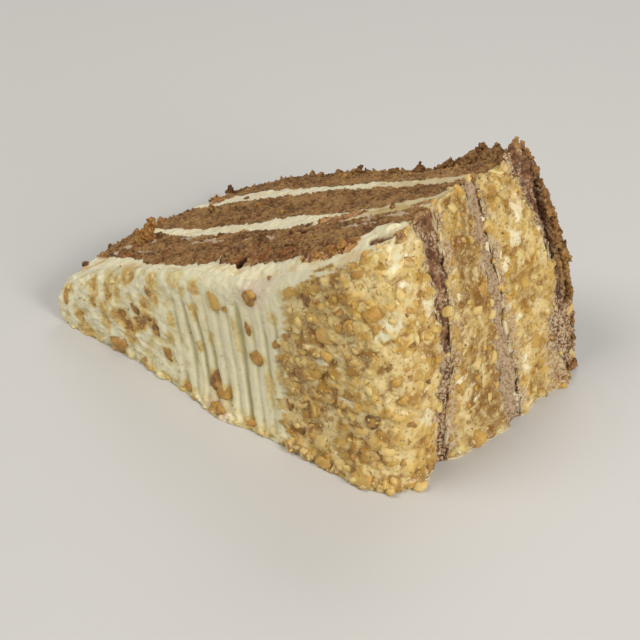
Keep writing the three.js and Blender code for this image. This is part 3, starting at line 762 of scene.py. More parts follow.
def bent_block(name, front, back, stand, combed=False, base=False, nutted=False):
    """A closed block of the wedge between two meetings, with fine faces where it shows. stand is
    how far its side stands out. Every point carries where it lies: in which face, at what reach
    and turn, how deep in the layer, how thickly nuts coat it, how stained it is and how deep a
    tear is."""
    thickness = float(back(*slice_centre) - front(*slice_centre))
    reaches = np.concatenate([
        np.linspace(0, tip_reach, rows_at_tip)[:-1],
        np.linspace(tip_reach, rim_radius, round((rim_radius - tip_reach) / fine_grain) + 1)])
    turns = np.linspace(0, 1, round(side_rise / grain) + 1)
    depths = np.linspace(0, 1, max(least_rows_deep, round(thickness / fine_grain)) + 1)
    across, up, deep = len(reaches), len(turns), len(depths)

    def at(i, j, k):
        return (np.asarray(i) * up + np.asarray(j)) * deep + np.asarray(k)

    all_i, all_j, all_k = np.arange(across), np.arange(up), np.arange(deep)
    few_j, few_k = few(up, hidden_rows_up), few(deep, hidden_rows_deep)
    inner_i = all_i[1:-1]
    faces = sheet_of(at(all_i[:, None], up - 1, all_k))                       # upper cut
    faces += sheet_of(at(across - 1, all_j[None, :], all_k[:, None]))         # side
    faces += sheet_of(at(0, few_j[:, None], all_k))                           # point
    faces += sheet_of(at(inner_i[None, :], 0, few_k[:, None]))                # lower cut
    faces += stitched(at(1, 0, few_k[::-1]), at(0, 0, all_k[::-1]))
    faces += stitched(at(across - 1, 0, all_k[::-1]), at(across - 2, 0, few_k[::-1]))
    for depth, shows in ((0, combed), (deep - 1, base)):
        rows = all_j if shows else few_j
        sheet = sheet_of(at(inner_i[:, None], rows, depth))
        sheet += stitched(at(0, few_j, depth), at(1, rows, depth))
        sheet += stitched(at(across - 2, rows, depth), at(across - 1, all_j, depth))
        faces += sheet if depth == 0 else [face[::-1] for face in sheet]

    codes, places = np.unique(np.concatenate([np.ravel(face) for face in faces]),
                              return_inverse=True)
    i, j, k = codes // (up * deep), codes // deep % up, codes % deep
    reach, turn, depth = reaches[i], turns[j], depths[k]
    y = lerp(front(reach, turn), back(reach, turn), depth)
    points = wedge_point(reach, turn, y)
    rounding = np.sqrt(np.sin(np.pi * np.clip(depth, 0.02, 0.98)))
    outward = stand(turn, y) * smoothstep(reach, side_start, rim_radius) * rounding
    points[:, 0] += outward * np.cos(turn * cut_angle)
    points[:, 2] += outward * np.sin(turn * cut_angle)
    on_cut, by_side = j == up - 1, smoothstep(reach, rim_radius - 2, rim_radius)
    gap, bare = [share * base * by_side for share in split_base(turn, y)]
    lift = torn(reach, y) * on_cut
    points[:, 2] += lift
    points[:, 0] += bare * torn_stand - gap * split_depth

    mesh = bpy.data.meshes.new(name)
    ends = np.cumsum([len(face) for face in faces])[:-1]
    mesh.from_pydata(in_frame(points), [], [face.tolist() for face in np.split(places, ends)])
    off_plate = j > 0
    on_front, on_side = (k == 0) & off_plate & combed, (i == across - 1) & off_plate
    shown = (on_cut | on_side | (i == 0) | on_front | ((k == deep - 1) & base)) & off_plate
    coated = nut_coat(reach, turn, y, on_cut) * ((on_side | on_front | on_cut) & nutted)
    stain = marks_on_comb([(*nut[:4], nut_stain) for nut in nuts_in_comb]
                          + list(stained_places), reach, turn) * on_front
    blush = marks_on_comb(blushed_places, reach, turn) * on_front
    from_front = 99 if combed else y - front(reach, turn)
    dust = dust_on_band(turn, from_front, back(reach, turn) - y, y) * on_side * nutted
    smudge = smudged(crumbs_over_cream if nutted else cream_over_crumb, reach, y) * on_cut
    # tear is the depth of a torn hollow or of the split; the sponge's finish paints shade there.
    mark(mesh, shown=shown, combed=on_front, cut=on_cut, side=on_side, depth=depth, turn=turn,
         reach=reach, coated=coated, stain=stain, tear=np.maximum(-lift, gap * 2), smudge=smudge,
         blush=blush, dust=dust, bare=bare)
    return mesh


# ---- finishes ----

bump_size = 0.7         # of the finest unevenness, in millimetres


class Finish(Graph):
    """A material round one Principled shader. Its tint is laid on coat by coat."""

    def __init__(self, name, **settings):
        self.material = bpy.data.materials.new(name)
        self.material.use_nodes = True
        super().__init__(self.material.node_tree)
        self.shader = self.tree.nodes["Principled BSDF"]
        for label, value in settings.items():
            self.shader.inputs[label.replace("_", " ")].default_value = value
        self.place = self.out("ShaderNodeTexCoord", output="Object")

    def painted(self, name):
        return self.out("ShaderNodeAttribute", output="Fac", attribute_name=name)

    def speckle(self, size, detail=3.0, roughness=0.5, aside=None):
        """A noise of about a size in millimetres. Taken from aside, it is another such noise."""
        place = self.shift(self.place, aside) if aside else self.place
        return self.noise(place, size * MM, detail, roughness)

    def patches(self, size, start, end, **settings):
        """Patches of about a size in millimetres: 0 where the noise is start, and 1 at end."""
        return self.step(self.speckle(size, **settings), start, end)

    def into_cake(self, start, end):
        """A step by how many millimetres it is from the combed face."""
        y = self.parts(self.place)[1]
        return self.step(y, (face_y + start) * MM, (face_y + end) * MM)

    def shade(self, tone, shades):
        """The shade that belongs to a tone between 0 and 1."""
        ramp = self.add("ShaderNodeValToRGB", {"Fac": tone})
        spare = ramp.color_ramp.elements[1]
        ramp.color_ramp.elements.remove(spare)
        for at, *shade in shades:
            ramp.color_ramp.elements.new(at).color = colour(*shade)
        ramp.color_ramp.elements.remove(ramp.color_ramp.elements[0])
        return Wire(self, ramp.outputs["Color"])

    def coat(self, share, shade):
        """Lays a shade over the tint so far."""
        self.tint = self.mix(share, self.tint, shade)

    def finished(self, bump_height, strength=1.0, roughness=0.5):
        """The material, with its tint and with bumps of a height in millimetres."""
        self.plug(self.shader.inputs["Base Color"], self.tint)
        self.plug(self.shader.inputs["Normal"], self.out("ShaderNodeBump", {
            "Height": self.speckle(bump_size, roughness=roughness),
            "Distance": bump_height * MM, "Strength": strength}))
        return self.material


nut_shades = (      # tone, red, green and blue
    (0.0, 234, 212, 150), (0.3, 224, 190, 112), (0.6, 208, 167, 80), (0.8, 188, 144, 60),
    (0.92, 174, 130, 58), (1.0, 110, 76, 40))
stain_shades = (
    (0.0, 232, 225, 190), (0.25, 222, 206, 150), (0.5, 210, 178, 108), (0.75, 192, 152, 80),
    (1.0, 156, 112, 52))


def sponge_finish(name, crumb, dark, pale):
    """Moist brown crumb: paler grains, painted highlights on the knobs of its relief and painted
    shade between them, in its pores and in its torn hollows, specks of spice, shreds of carrot,
    cream that the knife dragged over the cut, and on the side a crust under crumb dust, with
    painted shade in the split along the base's edge."""
    f = Finish(name, Roughness=0.8, Subsurface_Weight=0.12, Subsurface_Scale=0.001,
               Subsurface_Radius=(1.0, 0.5, 0.25))
    cut, side, depth = f.painted("cut"), f.painted("side"), f.painted("depth")
    knob, bare, tone = f.painted("knob"), f.painted("bare"), f.painted("tone")
    top_layer = cut * f.into_cake(32, 27)
    middle = f.into_cake(40, 46) * f.into_cake(62, 56)
    grains = f.speckle(1, roughness=0.65)

    f.tint = f.mix(f.patches(8, 0.38, 0.62), crumb, pale)
    # Painted highlight and shade: the knobs of the relief are painted paler on top and darker low
    # between them.
    f.coat(f.step(knob, 0.05, 0.55) * 0.7, pale)
    f.coat(f.step(knob, 0.1, -0.4) * 0.65, dark)
    ruddy = f.patches(4.5, 0.5, 0.64, detail=4.0, aside=(0.1, 0.5, 0.0))
    f.coat(ruddy * (0.2 + top_layer * 0.6), (138, 74, 22))
    murky = f.patches(3.6, 0.54, 0.68, detail=4.0, aside=(0.6, 0.1, 0.3))
    f.coat(murky * (0.2 + top_layer * 0.4), dark)
    # Painted shade: the pores are painted dark.
    f.coat(f.step(f.painted("hollow"), 0.1, 0.8) * 0.8, dark)
    f.coat(f.step(grains, 0.52, 0.64) * 0.7, pale)
    f.coat(f.step(grains, 0.46, 0.36) * 0.65, dark)
    flecked = f.patches(1.7, 0.54, 0.64, detail=2.0, aside=(0.2, 0.9, 0.4))
    f.coat(flecked * 0.45, (190, 146, 88))
    specks = f.step(f.cells(f.place, 2.6 * MM), 0.15, 0.1)
    f.coat(specks * 0.6, (46, 27, 14))
    shreds = f.step(f.cells(f.shift(f.place, (0.3, 0.1, 0.2)), 9.0 * MM), 0.12, 0.05)
    f.coat(shreds * 0.6, (160, 88, 30))

    dragged = f.patches(4.5, 0.6, 0.72, detail=4.0, aside=(0.7, 0.2, 0.1))
    by_cream = f.step(depth, 0.07, 0.0) + f.step(depth, 0.94, 1.0)
    smeared = by_cream * f.patches(2.2, 0.52, 0.6)
    f.coat((dragged * (0.12 + top_layer * 0.4) + smeared * 0.4) * cut, (198, 166, 122))
    smudge = f.painted("smudge") + f.speckle(1.5, detail=4.0) * 0.8
    f.coat(f.step(smudge, 0.8, 1.05) * 0.8, (208, 188, 162))

    crust = f.mix(f.patches(2.5, 0.4, 0.62), (86, 48, 28), (148, 104, 70))
    crust = f.mix(middle * 0.5, crust, (158, 126, 96))
    f.coat(side * (1.0 - bare) * 0.85, crust)
    dust = f.step(f.speckle(0.8, roughness=0.6) - middle * 0.02,
                  0.47 - middle * 0.1, 0.54 + middle * 0.08)
    by_band = f.step(depth, 0.4, 0.1) + f.step(depth, 0.7, 0.92) * 0.7
    dusty = (f.patches(5, 0.4, 0.58) * 0.5 + by_band * 0.6
             + f.step(f.painted("turn"), 0.6, 0.2) * 0.5 + middle * 0.7)
    dusted = (f.step(dust + middle * 0.35, 0.1, 1.0) * side * (1.0 - bare * 0.7)
              * f.step(dusty, 0.0, 0.9))
    f.coat(dusted, f.mix(middle * 0.6, (206, 182, 148), (186, 160, 128)))

    # Painted shade: the torn hollows and the split along the base's edge are painted dark.
    f.coat(f.step(f.painted("tear"), 0.1, 1.1) * 0.9, (74, 36, 14))
    amber = f.mix(f.step(grains, 0.4, 0.6), (152, 98, 40), (206, 156, 86))
    f.coat(f.step(tone, 0.66, 0.7) * f.step(tone, 0.8, 0.75) * 0.85, amber)
    f.coat(f.step(tone, 0.9, 0.93) * 0.6, (74, 40, 16))
    return f.finished(0.35, roughness=0.6)


def cream_finish(name, cream, stained):
    """Spread cream: amber stains round its nuts, painted greenish shade in the comb's grooves, full
    of nuts where it is coated, with painted shade in the crevices between the nuts, on the coat
    of the combed face by the rim and on the second nutted band, and with crumb smeared over
    the cut."""
    f = Finish(name, Roughness=0.26, Subsurface_Weight=0.35, Subsurface_Scale=0.0015,
               Subsurface_Radius=(1.0, 0.75, 0.5))
    combed, coated, cut = f.painted("combed"), f.painted("coated"), f.painted("cut")
    reach, turn = f.painted("reach") * MM, f.painted("turn")
    across = turn * reach * face_rise
    near_tip = f.step(reach, 72 * MM, 34 * MM)
    mottled = f.speckle(1.5, detail=4.0, roughness=0.6)

    blotches = f.patches(5, 0.44, 0.66, detail=4.0) * (1.0 - combed) * (0.7 + near_tip * 0.5)
    f.tint = f.mix(blotches * stained, cream, (220, 184, 122))
    soaked = f.step(turn, 0.12, 0.01) * f.patches(2.4, 0.35, 0.6)
    thin = f.step(f.painted("daub"), 0.5, 0.36) * (0.25 + near_tip * 0.75)
    streaks = f.step(f.noise(f.vector(reach, across * 0.12, 0.0), 2.6 * MM, detail=2.0), 0.54, 0.66)
    stain = f.painted("stain") * (0.6 + f.step(mottled, 0.36, 0.58) * 0.6)
    stain = stain + thin * 0.28 + soaked * 0.4 + streaks * 0.08
    f.coat(combed, f.shade(stain, stain_shades))
    f.coat(f.painted("blush") * (0.5 + f.step(mottled, 0.4, 0.6) * 0.5), (224, 202, 178))
    # Painted shade: the comb's grooves are painted greenish, as they look in shade.
    f.coat(f.step(f.painted("groove"), 0.1, 0.75) * 0.7, (182, 172, 118))

    nuts = f.shade(f.painted("tone") * 0.94, nut_shades)
    second_band = f.into_cake(26, 30) * f.into_cake(48, 44)
    weathered = f.patches(7, 0.4, 0.6)
    # Painted shade: the nuts on the combed face near the rim and on the second band are painted
    # darker and browner; the weathered patches add random browning.
    shaded_and_browned = (f.step(reach, 112 * MM, 98 * MM) * combed * (0.2 + weathered * 0.5)
               + second_band * (1.0 - cut) * (0.4 + weathered * 0.45) + weathered * 0.15)
    nuts = f.mix(shaded_and_browned, nuts, (142, 100, 38))
    gaps = f.painted("crevice")
    creamy = f.patches(8, 0.45, 0.56, aside=(0.2, 0.6, 0.0))
    # Painted shade: where no cream fills them, the crevices between the nut chips are painted dark
    # amber. Where cream fills them, they take its colour.
    nuts = f.mix(gaps * (1.0 - creamy) * 0.8, nuts, (146, 96, 34))
    nuts = f.mix(gaps * creamy * 0.9, nuts, (236, 214, 158))
    filmed = f.patches(3.4, 0.5, 0.6, detail=5.0, roughness=0.62)
    # Less cream film on the second band darkens it too, as painted shade.
    nuts = f.mix(filmed * (0.4 - second_band * 0.2), nuts, (232, 205, 136))
    f.coat(f.step(coated + (mottled - 0.5) * 1.4, 0.15, 0.85) * f.step(coated, 0.02, 0.2), nuts)

    grit = f.speckle(0.9, roughness=0.6)
    dust = f.mix(f.step(grit, 0.42, 0.56), (150, 112, 78), (204, 182, 148))
    f.coat(f.step(f.painted("dust") + (grit - 0.5) * 1.6, 0.25, 0.75) * 0.75, dust)
    bits = f.patches(1.6, 0.64, 0.7, aside=(0.9, 0.3, 0.0))
    f.coat(bits * coated * 0.7, (128, 86, 46))
    f.coat(f.step(f.painted("tear"), 0.4, 1.6), (132, 88, 46))
    golden = cut * f.step(reach, 80 * MM, 100 * MM) * f.into_cake(22, 28)
    f.coat(golden * 0.6, (206, 178, 118))
    crumbs = f.patches(3.2, 0.55, 0.62, detail=4.0, aside=(0.4, 0.0, 0.0))
    f.coat(crumbs * cut * 0.06, (150, 108, 60))
    smudge = f.painted("smudge")
    crumb = f.mix(f.step(mottled, 0.42, 0.58), (136, 92, 46), (206, 152, 90))
    crumb = f.mix(f.step(smudge, 0.62, 0.5), crumb, (206, 178, 116))
    f.coat(f.step(smudge + mottled * 0.8, 0.72, 0.92), crumb)
    astray = f.strayed(f.place, 1.1 * MM, 2.2 * MM)
    specks = f.step(f.cells(astray, 2.8 * MM), 0.2, 0.1) * (0.3 + coated * 0.5)
    f.coat(specks * 0.7, (112, 72, 40))
    return f.finished(0.2, strength=0.7)


def walnut_finish(name):
    """Broken walnut: waxy and golden inside, brown where the skin is left on."""
    f = Finish(name, Roughness=0.45, Subsurface_Weight=0.4, Subsurface_Scale=0.002,
               Subsurface_Radius=(1.0, 0.6, 0.25))
    scattered = f.painted("scattered")
    f.tint = f.shade(f.painted("tone"), nut_shades)
    mottled = f.patches(1.8, 0.42, 0.62, detail=4.0)
    f.coat(mottled * (0.7 - scattered * 0.35), (222, 172, 92))
    filmed = f.patches(3.4, 0.48, 0.6, detail=5.0, roughness=0.62)
    f.coat(filmed * 0.45 * scattered, (232, 208, 148))
    f.coat((1.0 - scattered) * 0.25, (178, 136, 70))
    skin = f.painted("skin") * f.patches(1.3, 0.56, 0.44, detail=4.0)
    f.coat(skin * 0.8, (126, 84, 46))
    return f.finished(0.3)


sponge_crumb = sponge_finish("carrot_sponge", (122, 84, 38), (62, 34, 10), (172, 130, 76))
top_cream = cream_finish("combed_cream_frosting", (242, 232, 194), stained=0.75)
layer_cream = cream_finish("cream_filling", (252, 240, 202), stained=0.3)
walnut = walnut_finish("chopped_walnut")


# ---- the layers ----

def sunk_sponge(turn, y):
    return -stripe_sink + 0.5 * uneven(turn * 50, y * 1.7, 8)


def proud_cream(turn, y):
    return band_stand + 0.5 * uneven(turn * 40, y, 13)


torn_sponge = crumb_tree()
combed_frosting = comb_tree()


def sponge_layer(node, front, back, seed, base=False):
    block = bent_block(node, front, back, sunk_sponge, base=base)
    layer = made_by(torn_sponge, block, node + "_crumb", finish=sponge_crumb, seed=seed)
    return fitted(layer, "sponge", node)


def cream_layer(node, front, back, finish, slot, combed=False):
    block = bent_block(node, front, back, proud_cream, combed=combed, nutted=True)
    layer = made_by(combed_frosting, block, node + "_cream", finish=finish)
    return fitted(layer, slot, node)


creams = {node: cream_layer(node, *rest) for node, *rest in (
    ("top_frosting", combed_face, frosting_to_top_sponge, top_cream, "frosting", True),
    ("upper_filling", top_sponge_to_upper_filling, upper_filling_to_middle_sponge, layer_cream,
     "cream_filling"),
    ("lower_filling", middle_sponge_to_lower_filling, lower_filling_to_bottom_sponge, layer_cream,
     "cream_filling"))}
sponges = {node: sponge_layer(node, *rest) for node, *rest in (
    ("top_sponge", frosting_to_top_sponge, top_sponge_to_upper_filling, 0.11),
    ("middle_sponge", upper_filling_to_middle_sponge, middle_sponge_to_lower_filling, 0.37),
    ("bottom_sponge", lower_filling_to_bottom_sponge, base_of_cake, 0.73, True))}


# ---- shards of sponge that stand up ----

torn_shards = (    # reach, y, width, height, how far it leans along the slice, tone
    (16, 30, 4.8, 8.2, 0.25, 0.7), (71, 20, 3.4, 2.2, -0.4, 0), (24, 52, 3.4, 2.6, -0.5, 0),
    (58, 47, 3, 2, 0.6, 0), (104, 80, 7, 3.4, 0.3, 0), (110, 80.5, 7.5, 5.2, -0.1, 0),
    (59, 81, 3.4, 3.2, 0.3, 0), (2.5, 80.5, 3.4, 2.8, -0.3, 0.95), (120.6, 80.6, 2.8, 3.6, 0.1, 0),
    (114, 81, 6, 4.2, 0.1, 0), (0.5, 12, 2.6, 1.5, 0.2, 0.95), (4, 33, 2.2, 2.2, -0.2, 0.72),
    (40, 81, 3, 2.2, 0.2, 0), (86, 81, 3.6, 2.6, -0.3, 0), (0.5, 74, 3, 1.8, 0, 0.72),
    (99, 7.6, 3, 1.2, 0.5, 0.7), (103, 8.6, 3.2, 1.5, 0.4, 0.7), (106.5, 9.4, 3, 1.6, -0.4, 0.72),
    (109.5, 10.4, 3.2, 1.6, 0.5, 0.7), (93, 82, 3.4, 2.2, 0.4, 0), (74, 82, 3, 1.8, 0.4, 0),
    (51, 82, 2.6, 1.6, -0.4, 0), (98, 81, 4, 3, -0.3, 0))
torn_rim = (    # crumb torn out of the base's edge on the side: turn, y, width, how far out
    (0.95, 81.8, 2.2, 0.6), (0.9, 82, 2.4, 0.4), (0.85, 82, 2.6, 0.6), (0.8, 82.2, 2.4, 0.8),
    (0.75, 82, 2.6, 1), (0.71, 82.2, 2.4, 1.4), (0.68, 81.8, 2.8, 1.6), (0.64, 82.2, 2.4, 1.2),
    (0.61, 81.8, 2.8, 1.6), (0.57, 82.2, 3, 1.8), (0.54, 82, 3.2, 2.2), (0.51, 82.2, 3.4, 3),
    (0.485, 82, 3.2, 3.4), (0.46, 82.2, 3, 2.8), (0.43, 81.8, 2.8, 2), (0.4, 82, 3, 1.6),
    (0.37, 81.6, 2.6, 2), (0.345, 81.4, 2.4, 2.4), (0.31, 81.4, 2.2, 1), (0.2, 82, 2.2, 0.6),
    (0.13, 82, 2.4, 0.8), (0.02, 81.6, 2.4, 1), (0.03, 77, 2.6, 0.8), (0.03, 73.5, 2.4, 0.6))
balls_per_level = 3     # of a shard
balls_on_rim = 6        # for each row of torn_rim


def shard_lumps(random):
    """Balls that overlap, each shard's from its wide foot to its narrow top."""
    shape = bmesh.new()
    tones = []

    def add_ball(centre, size, tone):
        made = bmesh.ops.create_icosphere(
            shape, subdivisions=2, radius=size / 2 * MM,
            matrix=Matrix.Translation(in_frame(centre)))
        tones.extend([tone] * len(made["verts"]))

    for reach, y, width, height, lean, tone in torn_shards:
        levels = max(4, math.ceil(height / width * 6))
        x, across, z = wedge_point(reach, 1.0, y)
        for ball_number in range(levels * balls_per_level):
            rise = (ball_number // balls_per_level) / (levels - 1)
            size = width * lerp(0.8, 0.3, rise) * random.uniform(0.7, 1.1)
            aside = random.uniform(-0.5, 0.5, 2) * width * lerp(0.7, 0.25, rise)
            add_ball((x + lean * height * rise + aside[0], across + aside[1] * 0.6,
                      z + (height - size / 2) * rise - size * 0.15 * (1 - rise)), size, tone)
    for turn, y, width, out in torn_rim:
        x, across, z = wedge_point(rim_radius, turn, y)
        for ball_number in range(balls_on_rim):
            size = width * random.uniform(0.35, 0.8)
            aside = random.uniform(-0.5, 0.5, 3) * width * 0.8
            away = (out - size / 2) * (ball_number + 1) / balls_on_rim
            add_ball((x + away + aside[0] * 0.3, min(across + aside[1], cake_height - size * 0.3),
                      max(z + aside[2], size / 2)), size, 0)
    mesh = mesh_of(shape, "shard_lumps")
    mark(mesh, tone=tones)
    return mesh


def shard_tree():
    """The lumps grown together into one torn surface."""
    g = GeometryGraph(
        "grown_shards", voxel=0.26 * MM, grain_size=0.95 * MM, grain_height=0.55 * MM)
    size = g.sizes
    volume = g.out("GeometryNodeMeshToVolume", {
        "Mesh": g.start, "Voxel Size": size["voxel"], "Interior Band Width": size["voxel"] * 2.0},
        resolution_mode="VOXEL_SIZE")
    solid = g.out("GeometryNodeVolumeToMesh", {"Volume": volume})
    nearest = g.out("GeometryNodeSampleNearest", {"Geometry": g.start}, domain="POINT")
    tone = g.out("GeometryNodeSampleIndex", {
        "Geometry": g.start, "Value": g.painted("tone"), "Index": nearest},
        data_type="FLOAT", domain="POINT")
    solid = g.kept(solid, tone=tone)
    rough = g.strayed(g.place, size["grain_size"], size["grain_size"])
    grains = 0.45 - g.cells(rough, size["grain_size"])
    crags = g.noise(g.place, size["grain_size"] * 1.4, detail=4.0, roughness=0.7) - 0.5
    height = (grains * 1.2 + crags * 3.5) * size["grain_height"]
    solid = g.moved(solid, g.along(g.normal, height))
    return g.finish(g.kept(solid, knob=grains + crags, shown=1.0))


shards = made_by(shard_tree(), shard_lumps(np.random.default_rng(5)), "torn_shards",
                 finish=sponge_crumb)
fitted(shards, "sponge", *sponges)


# ---- where loose pieces lie ----

def values_of(mesh, label):
    values = np.zeros(len(mesh.vertices), np.float32)
    mesh.attributes[label].data.foreach_get("value", values)
    return values


def corners_of_squares(mesh):
    corners = np.zeros(len(mesh.loops), np.int32)
    mesh.loops.foreach_get("vertex_index", corners)
    starts = np.zeros(len(mesh.polygons), np.int32)
    mesh.polygons.foreach_get("loop_start", starts)
    sides = np.diff(np.append(starts, len(corners)))
    return corners[starts[sides == 4][:, None] + np.arange(4)]


def skin_over(name, layers, covers_of):
    """The squares of the layers that show, as one sheet, with how thickly pieces lie on it."""
    points, squares, covers, count = [], [], [], 0
    for node, layer in layers.items():
        mesh = layer.data
        place = np.zeros(len(mesh.vertices) * 3, np.float32)
        mesh.vertices.foreach_get("co", place)
        points.append(place.reshape(-1, 3))
        square = corners_of_squares(mesh)
        shown = values_of(mesh, "shown")[square].min(axis=1) > 0.5
        squares.append(square[shown] + count)
        count += len(mesh.vertices)
        marks = {label: values_of(mesh, label) for label in (
            "combed", "cut", "side", "turn", "reach", "coated")}
        covers.append(covers_of(
            is_sponge=node in sponges, y=points[-1][:, 1] / MM - face_y, **marks))
    sheet = bpy.data.meshes.new(name)
    sheet.from_pydata(np.concatenate(points), [], np.concatenate(squares).tolist())
    for label in covers[0]:
        cover = np.concatenate([each[label] for each in covers])
        mark(sheet, **{label: np.clip(cover, 0, 1)})
    return sheet


def nut_covers(is_sponge, combed, cut, side, turn, reach, coated, **others):
    near_foot = 1 - smoothstep(turn, 0.0, 0.15)
    near_tip = 1 - smoothstep(reach, 30, 60)
    stray = combed * (1 - coated) * (0.006 + 0.22 * near_foot + 0.012 * near_tip)
    dust = side * is_sponge
    spilled = cut * smoothstep(reach, 112, 122) * 0.3
    fine = coated + stray * 2 + spilled
    return {"coarse_cover": coated + stray, "fine_cover": fine + dust * 0.06,
            "meal_cover": fine + dust * 0.15}


def crumb_covers(is_sponge, y, cut, turn, reach, **others):
    by_base = smoothstep(y, cake_height - 5, cake_height - 1)
    by_tip = 1 - smoothstep(reach, 1, 6)
    by_rim = smoothstep(reach, 112, 121)
    on_cut = cut * lerp(0.006, 0.12 + 0.5 * by_base + 0.5 * by_tip + 0.5 * by_rim, is_sponge)
    on_base = (y > cake_height - 1.5) * (1 - cut) * is_sponge * (
        0.15 + 0.7 * smoothstep(turn, 0.93, 1) + 0.3 * by_rim)
    at_point = (reach < 0.1) * is_sponge * 0.35
    return {"crumb_cover": on_cut + on_base + at_point}


# ---- loose pieces ----

shapes_to_pick = 7      # of each kind of piece
tried = 3.0             # how many are tried on a square as wide as they are apart


def ball(name, roundness):
    """A ball one unit across, and its points."""
    shape = bmesh.new()
    bmesh.ops.create_icosphere(shape, subdivisions=roundness, radius=0.5)
    mesh = mesh_of(shape, name)
    return mesh, np.array([vertex.co for vertex in mesh.vertices])


def reshaped(name, mesh, points):
    """The mesh with its points moved, as an object that isn't in the scene."""
    mesh.vertices.foreach_set("co", points.astype(np.float32).ravel())
    return bpy.data.objects.new(name, mesh)


def some_way(random):
    """A direction, as a vector one unit long."""
    outward = random.normal(size=3)
    return outward / np.linalg.norm(outward)


def chopped_piece(name, roundness, random):
    """A chip of nut one unit across: a ball with flat sides cut off it, one of them the skin."""
    mesh, points = ball(name, roundness)
    for cut in range(flat_sides):
        outward = some_way(random)
        past = points @ outward - random.uniform(0.2, 0.36)
        points -= np.maximum(past, 0)[:, None] * outward
    mark(mesh, skin=past > 0)
    return reshaped(name, mesh, points * random.uniform((0.9, 0.75, 0.5), (1.25, 1.0, 0.85)))


def crumb_piece(name, roundness, random):
    """A crumb of sponge one unit across: a ball with knobs and dents."""
    mesh, points = ball(name, roundness)
    for knob in range(12):
        towards = points @ some_way(random) / np.linalg.norm(points, axis=1)
        near = smoothstep(towards, 0.55, 0.95)
        points *= 1 + random.uniform(-0.5, 0.5) * near[:, None]
    points *= random.uniform(0.75, 1.25, (len(points), 1))
    return reshaped(name, mesh, points * random.uniform((0.8, 0.7, 0.6), (1.2, 1.0, 0.95)))


def scatter_tree():
    """Pieces laid over a skin: as close as apart allows where the skin's cover is 1, as more are
    tried than have room."""
    g = GeometryGraph(
        "scattered_pieces", shapes=bpy.types.Collection, cover="cover", apart=2 * MM,
        smallest=2 * MM, largest=4 * MM, sunk=0.2, tilt=0.5, seed=1)
    size = g.sizes
    points = g.add("GeometryNodeDistributePointsOnFaces", {
        "Mesh": g.start, "Distance Min": size["apart"],
        "Density Max": tried / (size["apart"] * size["apart"]),
        "Density Factor": g.painted(size["cover"]), "Seed": size["seed"]},
        distribute_method="POISSON")

    def drawn(low, high, offset):
        return g.out("FunctionNodeRandomValue", {
            2: low, 3: high, "ID": g.out("GeometryNodeInputIndex"),
            "Seed": size["seed"] + offset}, output=1, data_type="FLOAT")

    across = size["smallest"] + (size["largest"] - size["smallest"]) * drawn(0.0, 1.0, 1) ** 1.6
    tilt = size["tilt"]
    tipped = g.vector(
        drawn(tilt * -1.0, tilt, 2), drawn(tilt * -1.0, tilt, 3), drawn(0.0, math.tau, 4))
    turned = g.out("FunctionNodeRotateRotation", {
        "Rotation": Wire(g, points.outputs["Rotation"]), "Rotate By": tipped},
        rotation_space="LOCAL")
    lifted = g.moved(
        Wire(g, points.outputs["Points"]),
        g.along(Wire(g, points.outputs["Normal"]), across * size["sunk"] * -1.0))
    sized = g.kept(lifted, across=across)
    shapes = g.out("GeometryNodeCollectionInfo", {
        "Collection": size["shapes"], "Separate Children": True, "Reset Children": True})
    placed = g.out("GeometryNodeInstanceOnPoints", {
        "Points": sized, "Instance": shapes, "Pick Instance": True, "Rotation": turned,
        "Scale": g.vector(*[g.painted("across")] * 3)})
    toned = g.kept(placed, "INSTANCE", tone=drawn(0.0, 1.0, 5), scattered=1.0)
    return g.finish(g.out("GeometryNodeRealizeInstances", {"Geometry": toned}))


scattered_pieces = scatter_tree()
random = np.random.default_rng(7)


def scatter(name, shape_of, roundness, skin, slot, nodes, apart, smallest, largest, **settings):
    """Pieces of a few shapes, laid over a skin. Lengths are in millimetres."""
    collection = bpy.data.collections.new(name + "_shapes")
    bpy.context.scene.collection.children.link(collection)
    shapes = [shape_of(f"{name}_{i}", roundness, random) for i in range(shapes_to_pick)]
    for shape in shapes:
        collection.objects.link(shape)
    pieces = made_by(
        scattered_pieces, skin, name, shapes=collection, apart=apart * MM,
        smallest=smallest * MM, largest=largest * MM, **settings)
    for shape in shapes:
        bpy.data.objects.remove(shape)
    bpy.data.collections.remove(collection)
    fitted(pieces, slot, *nodes)


nutted_skin = skin_over("nutted_skin", creams | sponges, nut_covers)
for name, cover, roundness, apart, smallest, largest, sunk, tilt, seed in (
        ("walnut_chunks", "coarse_cover", 2, 6.0, 4.0, 7.0, 0.25, 0.25, 3),
        ("walnut_chips", "coarse_cover", 2, 3.4, 2.2, 4.6, 0.22, 0.4, 11),
        ("walnut_bits", "fine_cover", 1, 2.1, 0.8, 1.9, 0.14, 1.2, 19),
        ("walnut_meal", "meal_cover", 1, 1.2, 0.4, 0.9, 0.0, 3.0, 29)):
    scatter(name, chopped_piece, roundness, nutted_skin, "chopped_nuts", creams, apart, smallest,
            largest, cover=cover, sunk=sunk, tilt=tilt, seed=seed, finish=walnut)


def side_reach(y):
    """How far out the side stands: less where the shoulder is rounded."""
    drop = np.clip(1 - y / rim_round_drop, 0, 1)
    return rim_radius - rim_round_reach * (1 - np.sqrt(1 - drop ** 2))


def nut_spot(reach, turn, y):
    """Where a nut is pressed in, and the way out of the cake there: in the combed face at a
    reach, or in the side at a y."""
    def skin(beside, above):
        if y is None:
            at = reach + beside, turn + above
            return wedge_point(*at, combed_face(*at))
        return wedge_point(side_reach(y + beside), turn + above, y + beside)
    here = skin(0, 0)
    along = Vector(skin(0.5, 0) - here).normalized()
    up = Vector(skin(0, 0.01) - here).normalized()
    outward = along.cross(up).normalized()
    return here, along, outward.cross(along), outward


